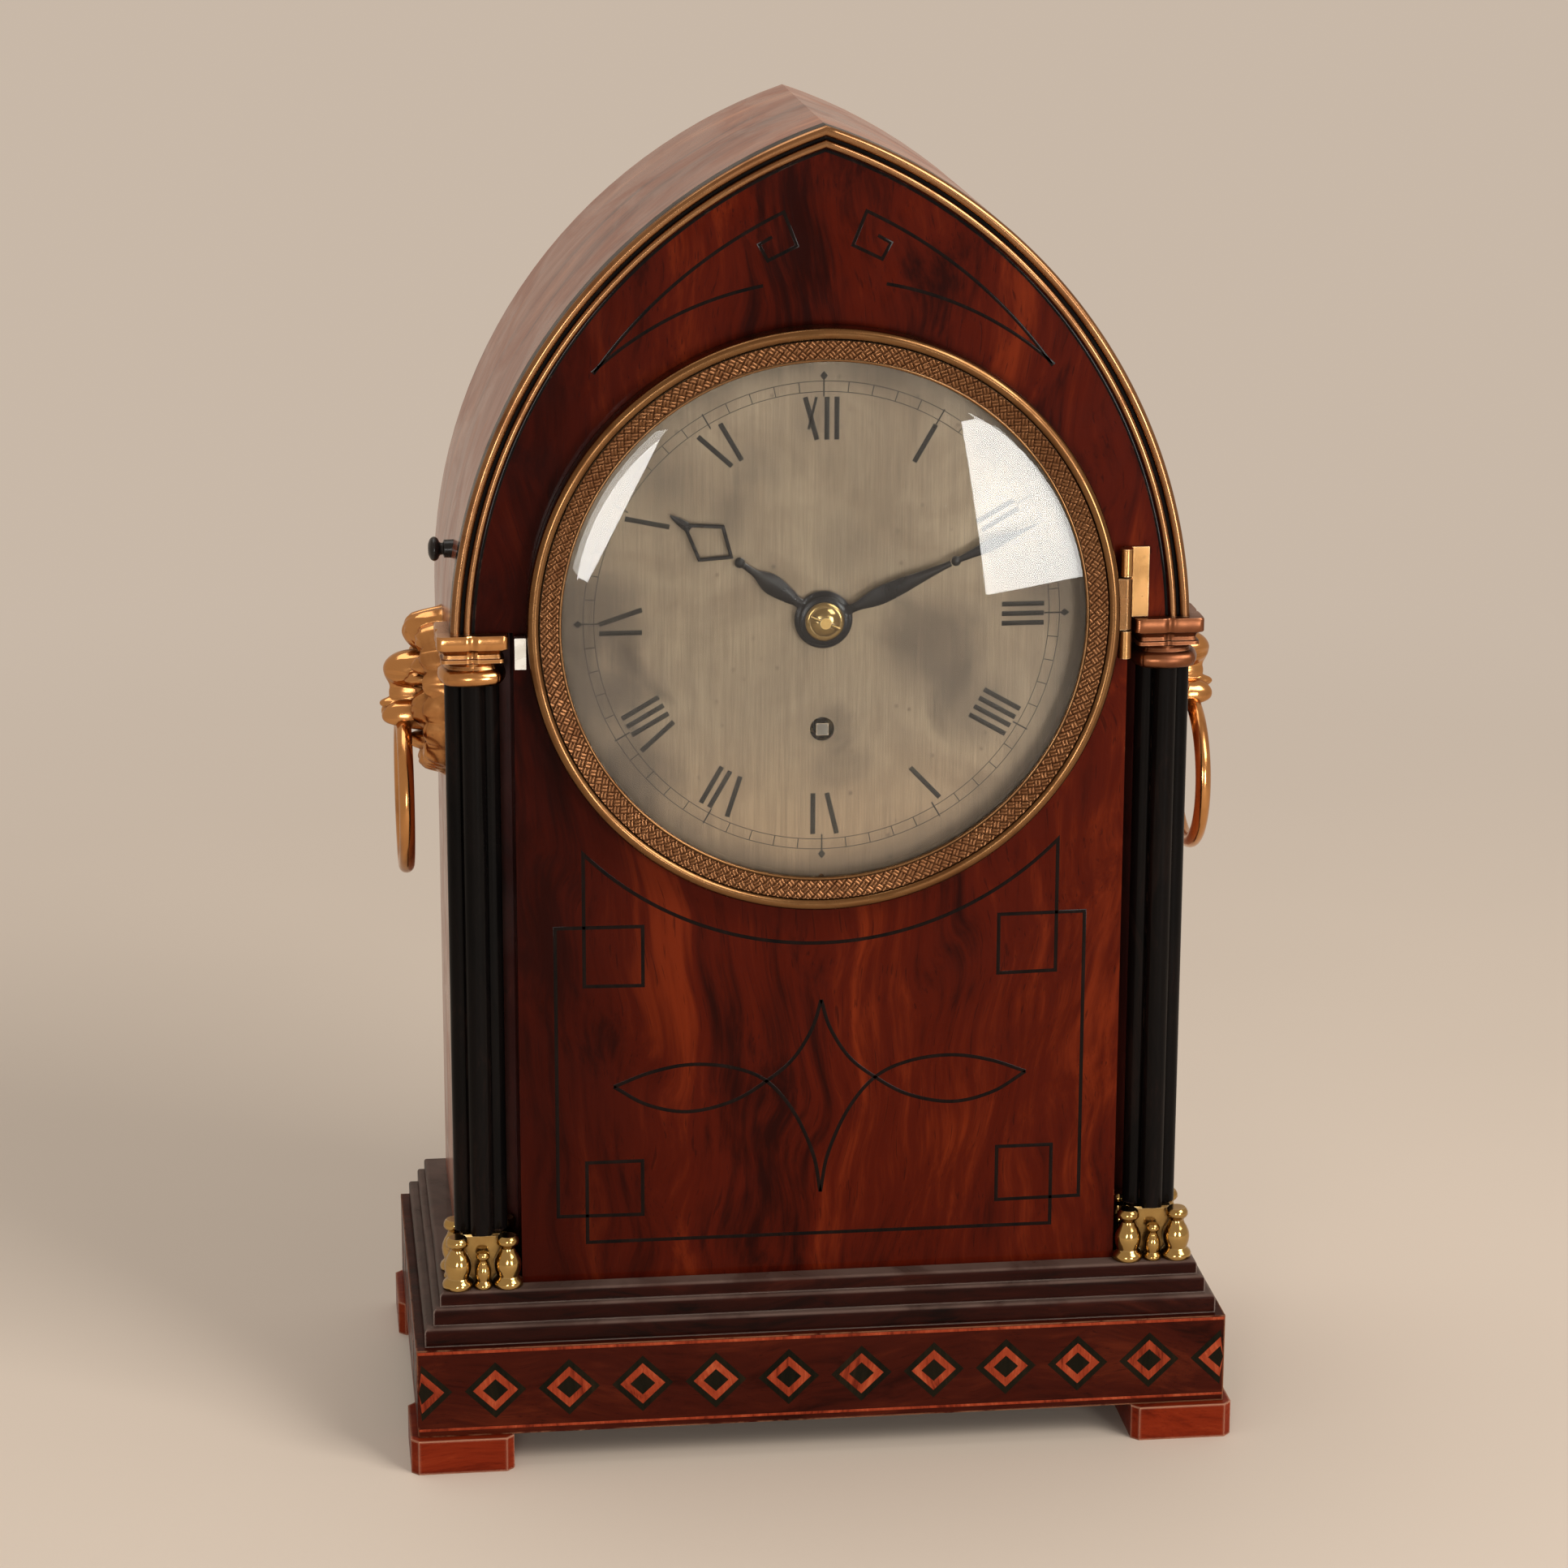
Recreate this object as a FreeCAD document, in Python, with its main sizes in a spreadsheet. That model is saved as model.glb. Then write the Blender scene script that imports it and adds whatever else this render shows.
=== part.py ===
import FreeCAD, Part
import math
import os
import re

from FreeCAD import Rotation, Vector
import Sketcher

# Lancet clock with a lancet-arched mahogany case, round dial and fusee timepiece movement.
# Frame: X to the right, Y to the back, Z up; the origin is on the table, under the middle.

DIMENSIONS = [
    # stepped base
    ("base_width", 240.0, "plinth, side to side"),
    ("base_depth", 128.4, "plinth, front to back"),
    ("plinth_height", 27.2, "plinth board"),
    ("foot_height", 10.5, "block foot"),
    ("foot_length", 30.2, "foot along the front"),
    ("foot_depth", 29.0, "foot along the side"),
    ("foot_side", 2.2, "foot proud of the plinth's side"),
    ("foot_front", 3.0, "foot proud of the plinth's front and back"),
    ("foot_edge", 2.2, "bevel round the foot"),
    ("lower_rise", 5.5, "lowest step"),
    ("middle_rise", 5.1, "middle step"),
    ("upper_rise", 4.1, "top step"),
    ("lower_tread", 2.6, "lowest step set back from the plinth"),
    ("middle_tread", 2.7, "middle step set back from the lowest"),
    ("upper_tread", 2.1, "top step set back from the middle"),
    ("step_edge", 1.3, "rounding of a step's top edge"),
    # case
    ("case_width", 212.0, "side to side"),
    ("case_setback", 13.3, "front panel behind the plinth's front"),
    ("case_depth", 100.0, "front panel to back frame"),
    ("arch_radius", 155.7, "outside of the lancet arch"),
    ("arch_rise_from", 190.2, "arch springs this high above the top step"),
    ("shell_wall", 6.0, "side and roof boards"),
    ("panel_wall", 11.0, "front panel"),
    ("back_wall", 6.0, "back frame and door"),
    ("moulding_depth", 5.0, "black moulding along the front of the arch"),
    ("outer_bead", 2.9, "outer brass bead, diameter"),
    ("inner_bead", 2.3, "inner brass bead, diameter"),
    ("bead_proud", 0.45, "bead centres in front of the panel face"),
    ("post_lap", 10.0, "corner post behind the panel"),
    ("post_depth", 8.0, "corner post behind the notch"),
    ("post_room", 0.2, "corner post to the side board"),
    # corner columns
    ("column_inset", 6.3, "column axis inside the case corner"),
    ("column_room", 0.2, "base to notch wall"),
    ("lobe_radius", 3.4, "one shaft of the cluster"),
    ("lobe_offset", 4.4, "shaft axis to cluster axis"),
    ("capital_half", 10.15, "half the capital's plate"),
    ("capital_rise", 15.0, "height of the capital"),
    ("capital_top_rise", 196.3, "top of the capital above the top step"),
    ("footing_half", 11.4, "half the column base at its foot"),
    ("footing_rise", 15.6, "height of the column base"),
    ("bulb_radius", 2.9, "corner bulb of the column base"),
    ("lead_bulb", 2.2, "middle bulb of the column base"),
    # dial and bezel
    ("dial_rise", 198.0, "dial centre above the top step"),
    ("dial_radius", 77.8, "silvered dial plate"),
    ("dial_wall", 1.5, "dial plate"),
    ("dial_sunk", 1.3, "dial face behind the panel face"),
    ("dial_bore", 4.2, "hole for the hour pipe"),
    ("dial_room", 0.2, "dial edge to its rebate"),
    ("panel_bore", 68.0, "opening through the panel"),
    ("winding_drop", 32.5, "winding arbor below the dial centre"),
    ("winding_bore", 3.5, "winding hole in the dial"),
    ("bezel_radius", 84.5, "outside of the bezel"),
    ("bezel_sight", 74.8, "glass seen through the bezel"),
    ("bezel_wall", 7.4, "bezel, back to front"),
    ("bezel_room", 0.3, "bezel back to the panel face"),
    ("ring_moulding", 3.5, "plain outer ring of the bezel"),
    ("glass_lap", 1.6, "glass behind the bezel's lip"),
    ("glass_wall", 1.2, "thickness of the glass"),
    ("glass_rise", 5.0, "how far the dial glass bulges"),
    ("hinge_reach", 2.2, "hinge axis outside the bezel"),
    ("hinge_ahead", 2.6, "hinge axis in front of the panel face"),
    ("hinge_length", 32.0, "bezel hinge barrel"),
    ("hinge_lift", 3.0, "barrel middle above the dial centre"),
    ("hinge_radius", 1.9, "barrel"),
    ("pin_radius", 0.9, "hinge pins"),
    ("fit_room", 0.05, "running fit, each side"),
    ("knuckle_room", 0.35, "between hinge knuckles"),
    ("catch_width", 3.2, "bezel catch along the panel"),
    ("catch_height", 9.0, "bezel catch"),
    ("catch_proud", 5.0, "bezel catch in front of the panel"),
    ("catch_drop", 6.7, "catch middle below the dial centre"),
    ("catch_travel", 1.5, "catch pressed in to free the bezel"),
    ("catch_stem", 1.6, "catch stem in the panel"),
    ("catch_depth", 6.0, "length of the stem in the panel"),
    # handles and side knob
    ("handle_rise", 158.6, "ring's hanging point above the top step"),
    ("handle_reach", 12.0, "ring plane outside the case side"),
    ("handle_ring", 21.85, "ring, to the middle of its bar"),
    ("handle_bar", 2.3, "radius of the ring's bar"),
    ("mouth_radius", 3.6, "hole through the lion's mouth"),
    ("mask_reach", 18.5, "muzzle outside the case side"),
    ("mask_height", 51.0, "lion mask"),
    ("mask_width", 32.0, "lion mask, front to back"),
    ("knob_radius", 3.5, "side knob"),
    ("knob_reach", 4.7, "side knob outside the case"),
    ("knob_rise", 216.0, "side knob above the top step"),
    ("knob_setback", 22.9, "side knob behind the panel face"),
    # back door
    ("door_width", 140.0, "opening in the back frame"),
    ("door_height", 222.0, "opening in the back frame"),
    ("door_rise", 24.0, "opening above the top step"),
    ("door_room", 0.8, "door edge to its opening"),
    ("door_stile", 18.0, "width of the door's frame"),
    ("pane_wall", 2.0, "glass in the back door"),
    ("pane_lap", 4.0, "glass let into the door's frame"),
    ("door_knob_radius", 5.0, "knob of the back door"),
    ("door_knob_reach", 9.0, "knob behind the back door"),
    ("latch_length", 13.0, "latch tongue from the knob's axis"),
    # movement
    ("seat_rise", 77.6, "underside of the seat board above the top step"),
    ("seat_wall", 11.0, "seat board"),
    ("bearer", 12.0, "batten under the seat board"),
    ("plate_width", 96.0, "movement plate"),
    ("plate_height", 170.0, "movement plate"),
    ("plate_wall", 2.5, "movement plate"),
    ("plate_ahead", 18.4, "front plate behind the panel face"),
    ("plate_gap", 45.0, "between the movement plates"),
    ("pillar_radius", 3.2, "movement pillar"),
    ("pillar_inset", 6.0, "pillar axis inside the plate's edge"),
    ("arbor_radius", 1.6, "train arbors"),
    ("pivot_radius", 0.8, "train pivots"),
    ("great_teeth", 96, "great wheel"),
    ("centre_leaves", 8, "centre pinion"),
    ("centre_teeth", 84, "centre wheel"),
    ("third_leaves", 7, "third pinion"),
    ("third_teeth", 78, "third wheel"),
    ("escape_leaves", 7, "escape pinion"),
    ("escape_teeth", 30, "escape wheel"),
    ("centre_module", 0.5, "centre wheel and third pinion"),
    ("third_module", 0.45, "third wheel and escape pinion"),
    ("third_side", 14.3, "third arbor to the right of the centre"),
    ("escape_radius", 14.0, "escape wheel"),
    ("pallet_room", 1.2, "pallets clear of the escape wheel at rest"),
    ("motion_teeth", 36, "cannon wheel and minute wheel"),
    ("motion_leaves", 6, "minute pinion"),
    ("hour_teeth", 72, "hour wheel"),
    ("motion_module", 0.5, "cannon wheel and minute wheel"),
    ("stud_radius", 0.5, "stud of the minute wheel"),
    ("fusee_arbor", 3.0, "fusee and barrel arbors"),
    ("fusee_large", 20.0, "fusee at its great wheel"),
    ("fusee_small", 9.5, "fusee at its far end"),
    ("fusee_length", 27.0, "fusee cone"),
    ("winding_square", 3.6, "square for the key, across flats"),
    ("barrel_radius", 23.4, "spring barrel"),
    ("barrel_length", 30.0, "spring barrel"),
    ("barrel_side", 24.0, "barrel to the left of the centre"),
    ("barrel_drop", 44.0, "barrel below the winding arbor"),
    ("line_radius", 0.8, "gut line"),
    ("pendulum_length", 200.0, "suspension point to bob"),
    ("pendulum_behind", 8.0, "pendulum behind the back plate"),
    ("rod_radius", 1.2, "pendulum rod"),
    ("bob_radius", 21.0, "pendulum bob"),
    ("bob_wall", 10.0, "pendulum bob"),
    # hands
    ("hour_reach", 53.5, "hour hand"),
    ("minute_reach", 67.0, "minute hand"),
    ("hour_diamond", 5.8, "half the width of the hour hand's open diamond"),
    ("minute_diamond", 1.8, "half the width of the minute hand's last leaf"),
    ("hand_wall", 0.8, "hands"),
    ("hand_room", 1.2, "dial to hour hand and hour hand to minute hand"),
    ("hour_angle", 305.5, "hour hand, clockwise from twelve"),
    ("minute_angle", 66.3, "minute hand, clockwise from twelve"),
    ("cannon_radius", 2.2, "outside of the cannon pipe"),
    ("hour_pipe", 3.4, "outside of the hour pipe"),
    ("hour_boss_radius", 8.3, "round boss of the hour hand"),
    ("minute_boss_radius", 7.2, "round boss of the minute hand"),
    ("collet_radius", 5.6, "domed brass collet that holds the hands"),
]

# Places that follow from the sizes above.
PLACES = [
    ("plinth_top", "foot_height + plinth_height"),
    ("lower_top", "plinth_top + lower_rise"),
    ("middle_top", "lower_top + middle_rise"),
    ("floor", "middle_top + upper_rise"),
    ("lower_half", "base_width / 2 - lower_tread"),
    ("middle_half", "lower_half - middle_tread"),
    ("upper_half", "middle_half - upper_tread"),
    ("plinth_front", "-base_depth / 2"),
    ("panel_front", "plinth_front + case_setback"),
    ("panel_back", "panel_front + panel_wall"),
    ("case_back", "panel_front + case_depth"),
    ("case_half", "case_width / 2"),
    ("inner_half", "case_half - shell_wall"),
    ("arch_side", "arch_radius - case_half"),
    ("spring", "floor + arch_rise_from"),
    ("column_x", "case_half - column_inset"),
    ("column_y", "panel_front + column_inset"),
    ("notch_x", "column_x - footing_half - column_room"),
    ("notch_y", "column_y + footing_half + column_room"),
    ("capital_top", "floor + capital_top_rise"),
    ("shaft_top", "capital_top - capital_rise"),
    ("shaft_foot", "floor + footing_rise"),
    ("dial_z", "floor + dial_rise"),
    ("dial_face", "panel_front + dial_sunk"),
    ("dial_back", "dial_face + dial_wall"),
    ("winding_z", "dial_z - winding_drop"),
    ("bezel_back", "panel_front - bezel_room"),
    ("bezel_front", "bezel_back - bezel_wall"),
    ("glass_seat", "bezel_back - bezel_wall * 0.65"),
    ("catch_x", "bezel_radius + bezel_room + catch_width / 2"),
    ("catch_back", "panel_front - catch_travel - bezel_room"),
    ("hinge_x", "bezel_radius + hinge_reach"),
    ("hinge_y", "panel_front - hinge_ahead"),
    ("hinge_low", "dial_z + hinge_lift - hinge_length / 2"),
    ("catch_z", "dial_z - catch_drop"),
    ("handle_x", "case_half + handle_reach"),
    ("handle_z", "floor + handle_rise"),
    ("handle_y", "0"),
    ("door_low", "floor + door_rise"),
    ("door_high", "door_low + door_height"),
    ("door_half", "door_width / 2"),
    ("door_front", "case_back - back_wall"),
    ("seat_low", "floor + seat_rise"),
    ("seat_top", "seat_low + seat_wall"),
    ("front_plate_face", "panel_front + plate_ahead"),
    ("front_plate_back", "front_plate_face + plate_wall"),
    ("back_plate_face", "front_plate_back + plate_gap"),
    ("back_plate_back", "back_plate_face + plate_wall"),
    ("plate_top", "seat_top + plate_height"),
    ("great_module", "2 * winding_drop / (great_teeth + centre_leaves)"),
    ("third_reach", "centre_module * (centre_teeth + third_leaves) / 2"),
    ("third_z", "dial_z + sqrt(third_reach ^ 2 - third_side ^ 2)"),
    ("escape_reach", "third_module * (third_teeth + escape_leaves) / 2"),
    ("escape_z", "third_z + sqrt(escape_reach ^ 2 - third_side ^ 2)"),
    ("pallet_z", "escape_z + escape_radius * sqrt(2)"),
    ("motion_side", "motion_module * motion_teeth"),
    ("hour_module", "2 * motion_side / (hour_teeth + motion_leaves)"),
    ("barrel_z", "winding_z - barrel_drop"),
    ("pendulum_y", "back_plate_back + pendulum_behind"),
    ("bob_z", "pallet_z - pendulum_length"),
    ("hour_hand_y", "dial_face - hand_room"),
    ("minute_hand_y", "hour_hand_y - hand_wall - hand_room"),
]

doc = FreeCAD.newDocument("lancet_clock")
WORD = re.compile(r"[a-z][a-z_]*[a-z]")
size = {}
home = {}


def fill_sheet(name, rows, mark):
    """One sheet: a note, a value or formula and its alias in each row."""
    sheet = doc.addObject("Spreadsheet::Sheet", name)
    for number, row in enumerate(rows, 1):
        home[row[0]] = name
        sheet.set("A%d" % number, row[-1] if mark == "" else row[0].replace("_", " "))
        sheet.set("B%d" % number, mark + full(str(row[1]), name))
        sheet.setAlias("B%d" % number, row[0])
    doc.recompute()
    for row in rows:
        size[row[0]] = float(sheet.get(row[0]))


def full(text, inside=""):
    """A formula with each size's own sheet named before it."""
    def named(word):
        owner = home.get(word.group(0))
        return word.group(0) if owner in (None, inside) else owner + "." + word.group(0)
    return WORD.sub(named, text)


def bind(thing, prop, text):
    thing.setExpression(prop, full(str(text)))


fill_sheet("dims", DIMENSIONS, "")
fill_sheet("places", PLACES, "=")

pieces = {}


def piece(name, thing):
    """Names a finished sub-part."""
    thing.Label = name
    pieces[name] = thing
    return thing


# Part primitives with their sizes bound to the sheets

def box(name, x, y, z):
    solid = doc.addObject("Part::Box", name)
    for prop, axis, (low, high) in (("Length", "x", x), ("Width", "y", y), ("Height", "z", z)):
        bind(solid, prop, "(%s) - (%s)" % (high, low))
        bind(solid, "Placement.Base." + axis, low)
    return solid


TURN = {"x": Rotation(Vector(0, 1, 0), 90), "y": Rotation(Vector(1, 0, 0), -90), "z": Rotation()}


def rod(name, radius, centre, span, axis="y"):
    """A cylinder along one axis: centre gives the two other coordinates in X, Y, Z order."""
    solid = doc.addObject("Part::Cylinder", name)
    solid.Placement = FreeCAD.Placement(Vector(), TURN[axis])
    place = list(centre)
    place.insert("xyz".index(axis), span[0])
    for letter, text in zip("xyz", place):
        bind(solid, "Placement.Base." + letter, text)
    bind(solid, "Radius", radius)
    bind(solid, "Height", "(%s) - (%s)" % (span[1], span[0]))
    return solid


def ring(name, major, minor, centre, axis="y"):
    solid = doc.addObject("Part::Torus", name)
    solid.Placement = FreeCAD.Placement(Vector(), TURN[axis])
    bind(solid, "Radius1", major)
    bind(solid, "Radius2", minor)
    for letter, text in zip("xyz", centre):
        bind(solid, "Placement.Base." + letter, text)
    return solid


def egg(name, centre, half):
    """An ellipsoid with its half sizes along X, Y and Z."""
    solid = doc.addObject("Part::Ellipsoid", name)
    solid.Angle1 = -90
    for prop, text in zip(("Radius2", "Radius3", "Radius1"), half):
        bind(solid, prop, text)
    for letter, text in zip("xyz", centre):
        bind(solid, "Placement.Base." + letter, text)
    return solid


def cut(name, base, tool):
    result = doc.addObject("Part::Cut", name)
    result.Base = base
    result.Tool = tool
    result.Refine = True
    return result


def fuse(name, *parts):
    result = doc.addObject("Part::MultiFuse", name)
    result.Shapes = list(parts)
    result.Refine = True
    return result


def common(name, *parts):
    result = doc.addObject("Part::MultiCommon", name)
    result.Shapes = list(parts)
    return result


def group(name, *parts):
    """Separate solids of one sub-part."""
    result = doc.addObject("Part::Compound", name)
    result.Links = list(parts)
    return result


def feature(name, shape):
    """A sub-part whose form neither primitives nor sketches give."""
    solid = doc.addObject("Part::Feature", name)
    solid.Shape = shape
    return solid


# PartDesign bodies

def plane_of(body, role):
    return [item for item in body.Origin.OriginFeatures if item.Role == role][0]


def new_sketch(body, role, offset):
    """A sketch on one of the body's own planes, moved by three formulas."""
    sketch = body.newObject("Sketcher::SketchObject", body.Name + "_sketch")
    sketch.AttachmentSupport = [(plane_of(body, role), "")]
    sketch.MapMode = "FlatFace"
    for letter, text in zip("xyz", offset):
        bind(sketch, "AttachmentOffset.Base." + letter, text)
    return sketch


def fix_point(sketch, line, end, across, up):
    """Holds a line's end at two formulas, measured from the sketch's origin."""
    for kind, text in (("DistanceX", across), ("DistanceY", up)):
        index = sketch.addConstraint(Sketcher.Constraint(kind, line, end, 1.0))
        sketch.setExpression("Constraints[%d]" % index, full(text))


def outline(sketch, corners):
    """A closed outline through corners, each a pair of formulas."""
    first = sketch.GeometryCount
    guess = [(math.cos(6.28 * i / len(corners)), math.sin(6.28 * i / len(corners)), 0)
             for i in range(len(corners))]
    for i in range(len(corners)):
        sketch.addGeometry(Part.LineSegment(Vector(*guess[i]), Vector(*guess[(i + 1) % len(corners)])))
    for i in range(len(corners)):
        after = first + (i + 1) % len(corners)
        sketch.addConstraint(Sketcher.Constraint("Coincident", first + i, 2, after, 1))
        fix_point(sketch, first + i, 1, *corners[i])


def circle(sketch, radius, across="0", up="0"):
    index = sketch.addGeometry(Part.Circle(Vector(0, 0, 0), Vector(0, 0, 1), 1.0))
    fix_point(sketch, index, 3, across, up)
    radius_index = sketch.addConstraint(Sketcher.Constraint("Radius", index, 1.0))
    sketch.setExpression("Constraints[%d]" % radius_index, full(radius))


def board(name, span, corners=None, circles=(), along="y"):
    """A padded board: its outline faces the front (along y) or lies flat (along z)."""
    body = doc.addObject("PartDesign::Body", name)
    if along == "y":
        sketch = new_sketch(body, "XZ_Plane", ("0", "0", "-(%s)" % span[1]))
    else:
        sketch = new_sketch(body, "XY_Plane", ("0", "0", span[0]))
    if corners:
        outline(sketch, corners)
    for item in circles:
        circle(sketch, *item)
    pad = body.newObject("PartDesign::Pad", name + "_pad")
    pad.Profile = sketch
    bind(pad, "Length", "(%s) - (%s)" % (span[1], span[0]))
    return body


def turned(name, corners, x="0", z="dial_z"):
    """A body turned about an axis along Y: corners are pairs of depth and radius."""
    body = doc.addObject("PartDesign::Body", name)
    sketch = new_sketch(body, "YZ_Plane", ("0", z, x))
    outline(sketch, corners)
    turn = body.newObject("PartDesign::Revolution", name + "_turn")
    turn.Profile = sketch
    turn.ReferenceAxis = (sketch, ["H_Axis"])
    turn.Angle = 360.0
    return body


def edge_round(body, kind, radius, chosen):
    """Rounds or bevels the edges that chosen picks from the body's present shape."""
    doc.recompute()
    base = body.Tip
    names = ["Edge%d" % (i + 1) for i, edge in enumerate(base.Shape.Edges) if chosen(edge)]
    dressed = body.newObject("PartDesign::" + kind, body.Name + "_edge")
    dressed.Base = (base, names)
    bind(dressed, "Radius" if kind == "Fillet" else "Size", radius)
    return body


def rectangle(low_x, high_x, low_y, high_y):
    return [(low_x, low_y), (high_x, low_y), (high_x, high_y), (low_x, high_y)]


def mirror_sides():
    return (("left", "-"), ("right", ""))


def is_level(edge, height):
    return all(abs(vertex.Z - height) < 1e-4 for vertex in edge.Vertexes)


# Stepped base and feet
for place, across, along in (("front_left", -1, -1), ("front_right", 1, -1),
                             ("rear_left", -1, 1), ("rear_right", 1, 1)):
    far_x = "%d * (base_width / 2 + foot_side)" % across
    near_x = "%d * (base_width / 2 + foot_side - foot_length)" % across
    far_y = "%d * (base_depth / 2 + foot_front)" % along
    near_y = "%d * (base_depth / 2 + foot_front - foot_depth)" % along
    foot = board("foot_" + place, ("0", "foot_height"), along="z", corners=[
        (far_x, far_y), (near_x, far_y), (near_x, near_y), (far_x, near_y)])
    edge_round(foot, "Chamfer", "foot_edge", lambda edge: not is_level(edge, 0) and
               not (is_level(edge, size["foot_height"])))
    piece("foot_" + place, foot)

piece("plinth", board("plinth", ("foot_height", "plinth_top"), along="z",
                      corners=rectangle("-base_width / 2", "base_width / 2", "-base_depth / 2",
                                        "base_depth / 2")))

STEPS = (("lower", "plinth_top", "lower_top"), ("middle", "lower_top", "middle_top"),
         ("upper", "middle_top", "floor"))
for name, low, high in STEPS:
    inset = "(base_width / 2 - %s_half)" % name
    deep = "(base_depth / 2 - %s)" % inset
    step = board("step_" + name, (low, high), along="z",
                 corners=rectangle("-%s_half" % name, "%s_half" % name, "-" + deep, deep))
    top = size[high]
    edge_round(step, "Fillet", "step_edge", lambda edge: is_level(edge, top))
    piece("step_" + name, step)


# Lancet case: two round arcs that cross at the top, on straight sides
def lancet(name, inset, y, low="floor"):
    """A solid of the arch's outline, drawn in by inset, between two depths."""
    discs = [rod("%s_disc_%s" % (name, side), "arch_radius - (%s)" % inset,
                 (sign + "1 * arch_side", "spring"), y) for side, sign in mirror_sides()]
    head = box(name + "_head", ("-case_half", "case_half"), y, ("spring", "spring + arch_radius"))
    arch = common(name + "_arch", discs[0], discs[1], head)
    sides = box(name + "_sides", ("-(case_half - (%s))" % inset, "case_half - (%s)" % inset), y,
                (low, "spring"))
    return fuse(name, arch, sides)


def side_box(name, sign, inner, outer, y, z):
    """A box given by its distances from the middle plane, on one side."""
    if sign == "-":
        return box(name, ("-(%s)" % outer, "-(%s)" % inner), y, z)
    return box(name, (inner, outer), y, z)


PANEL_DEPTH = ("panel_front", "panel_back")
panel_block = lancet("panel_block", "shell_wall", PANEL_DEPTH)
panel_cuts = [side_box("panel_notch_" + side, sign, "notch_x", "case_half",
                       ("panel_front - 1", "panel_back + 1"),
                       ("floor - 1", "capital_top")) for side, sign in mirror_sides()]
panel_cuts.append(rod("panel_opening", "panel_bore", ("0", "dial_z"), ("panel_front - 1", "panel_back + 1")))
panel_cuts.append(rod("panel_rebate", "dial_radius + dial_room", ("0", "dial_z"),
                      ("panel_front - 1", "dial_back")))
panel_cuts.append(box("panel_catch_slot",
                      ("-catch_x - catch_stem / 2 - fit_room", "-catch_x + catch_stem / 2 + fit_room"),
                      ("panel_front - 1", "panel_front + catch_depth + catch_travel + bezel_room"),
                      ("catch_z - catch_height / 3 - fit_room", "catch_z + catch_height / 3 + fit_room")))
piece("front_panel", cut("front_panel", panel_block, fuse("panel_cuts", *panel_cuts)))

posts = []
for side, sign in mirror_sides():
    outer = lancet("shell_outer_" + side, "0", ("panel_front + moulding_depth", "case_back"))
    inner = lancet("shell_inner_" + side, "shell_wall", ("panel_front + moulding_depth - 1",
                                                         "case_back + 1"), "floor - 1")
    half = side_box("shell_half_" + side, sign, "0", "case_half + 1", ("panel_front", "case_back + 1"),
                    ("floor - 1", "spring + arch_radius"))
    notch = side_box("shell_notch_" + side, sign, "0", "case_half + 2", ("panel_front", "notch_y"),
                     ("floor - 2", "capital_top"))
    knob_hole = rod("shell_bore_" + side, "knob_radius / 2", ("panel_front + knob_setback",
                                                              "floor + knob_rise"),
                    ("-case_half - 1", "-inner_half + 1"), "x")
    wall = common("shell_wall_" + side, cut("shell_bent_" + side, outer, inner), half)
    tool = fuse("shell_tool_" + side, notch, knob_hole) if side == "left" else notch
    piece("shell_" + side, cut("shell_" + side, wall, tool))

    posts.append(board("corner_post_" + side, ("floor", "capital_top"), along="z", corners=[
        (sign + "1 * (notch_x - post_lap)", "panel_back"), (sign + "1 * notch_x", "panel_back"),
        (sign + "1 * notch_x", "notch_y"), (sign + "1 * (inner_half - post_room)", "notch_y"),
        (sign + "1 * (inner_half - post_room)", "notch_y + post_depth"),
        (sign + "1 * (notch_x - post_lap)", "notch_y + post_depth")]))
piece("corner_posts", group("corner_posts", *posts))

# Black moulding and brass beads along the front edge of the arch
mouldings, beads = [], []
for side, sign in mirror_sides():
    other = "" if sign == "-" else "-"
    region = side_box("arch_region_" + side, sign, "0", "case_half + 1", ("panel_front - 5", "panel_back"),
                      ("capital_top", "spring + arch_radius"))
    strip = cut("moulding_strip_" + side,
                lancet("moulding_outer_" + side, "0", ("panel_front", "panel_front + moulding_depth")),
                lancet("moulding_inner_" + side, "shell_wall", ("panel_front - 1", "panel_back"),
                       "floor - 1"))
    grooves = []
    for name, inset, bead in (("outer", "outer_bead / 2", "outer_bead"),
                              ("inner", "shell_wall - inner_bead / 2", "inner_bead")):
        for use in ("bead", "groove"):
            thick = bead + " / 2" if use == "bead" else bead + " / 2 + fit_room"
            rope = ring("%s_%s_%s" % (name, use, side), "arch_radius - (%s)" % inset, thick,
                        (other + "1 * arch_side", "panel_front - bead_proud", "spring"))
            if use == "bead":
                copy = side_box("bead_region_%s_%s" % (name, side), sign, "0", "case_half + 1",
                                ("panel_front - 5", "panel_back"), ("capital_top", "spring + arch_radius"))
                beads.append(common("bead_%s_%s" % (name, side), rope, copy))
            else:
                grooves.append(rope)
    strip = common("moulding_half_" + side, strip, region)
    mouldings.append(cut("moulding_" + side, strip, fuse("moulding_grooves_" + side, *grooves)))
piece("arch_mouldings", group("arch_mouldings", *mouldings))
piece("arch_beads", group("arch_beads", *beads))


# Clustered corner columns with their capitals and bases
def square(name, half, x, z):
    """A square plate round the column's axis."""
    return box(name, (x + " - (%s)" % half, x + " + " + half),
               ("column_y - (%s)" % half, "column_y + " + half), z)


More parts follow.
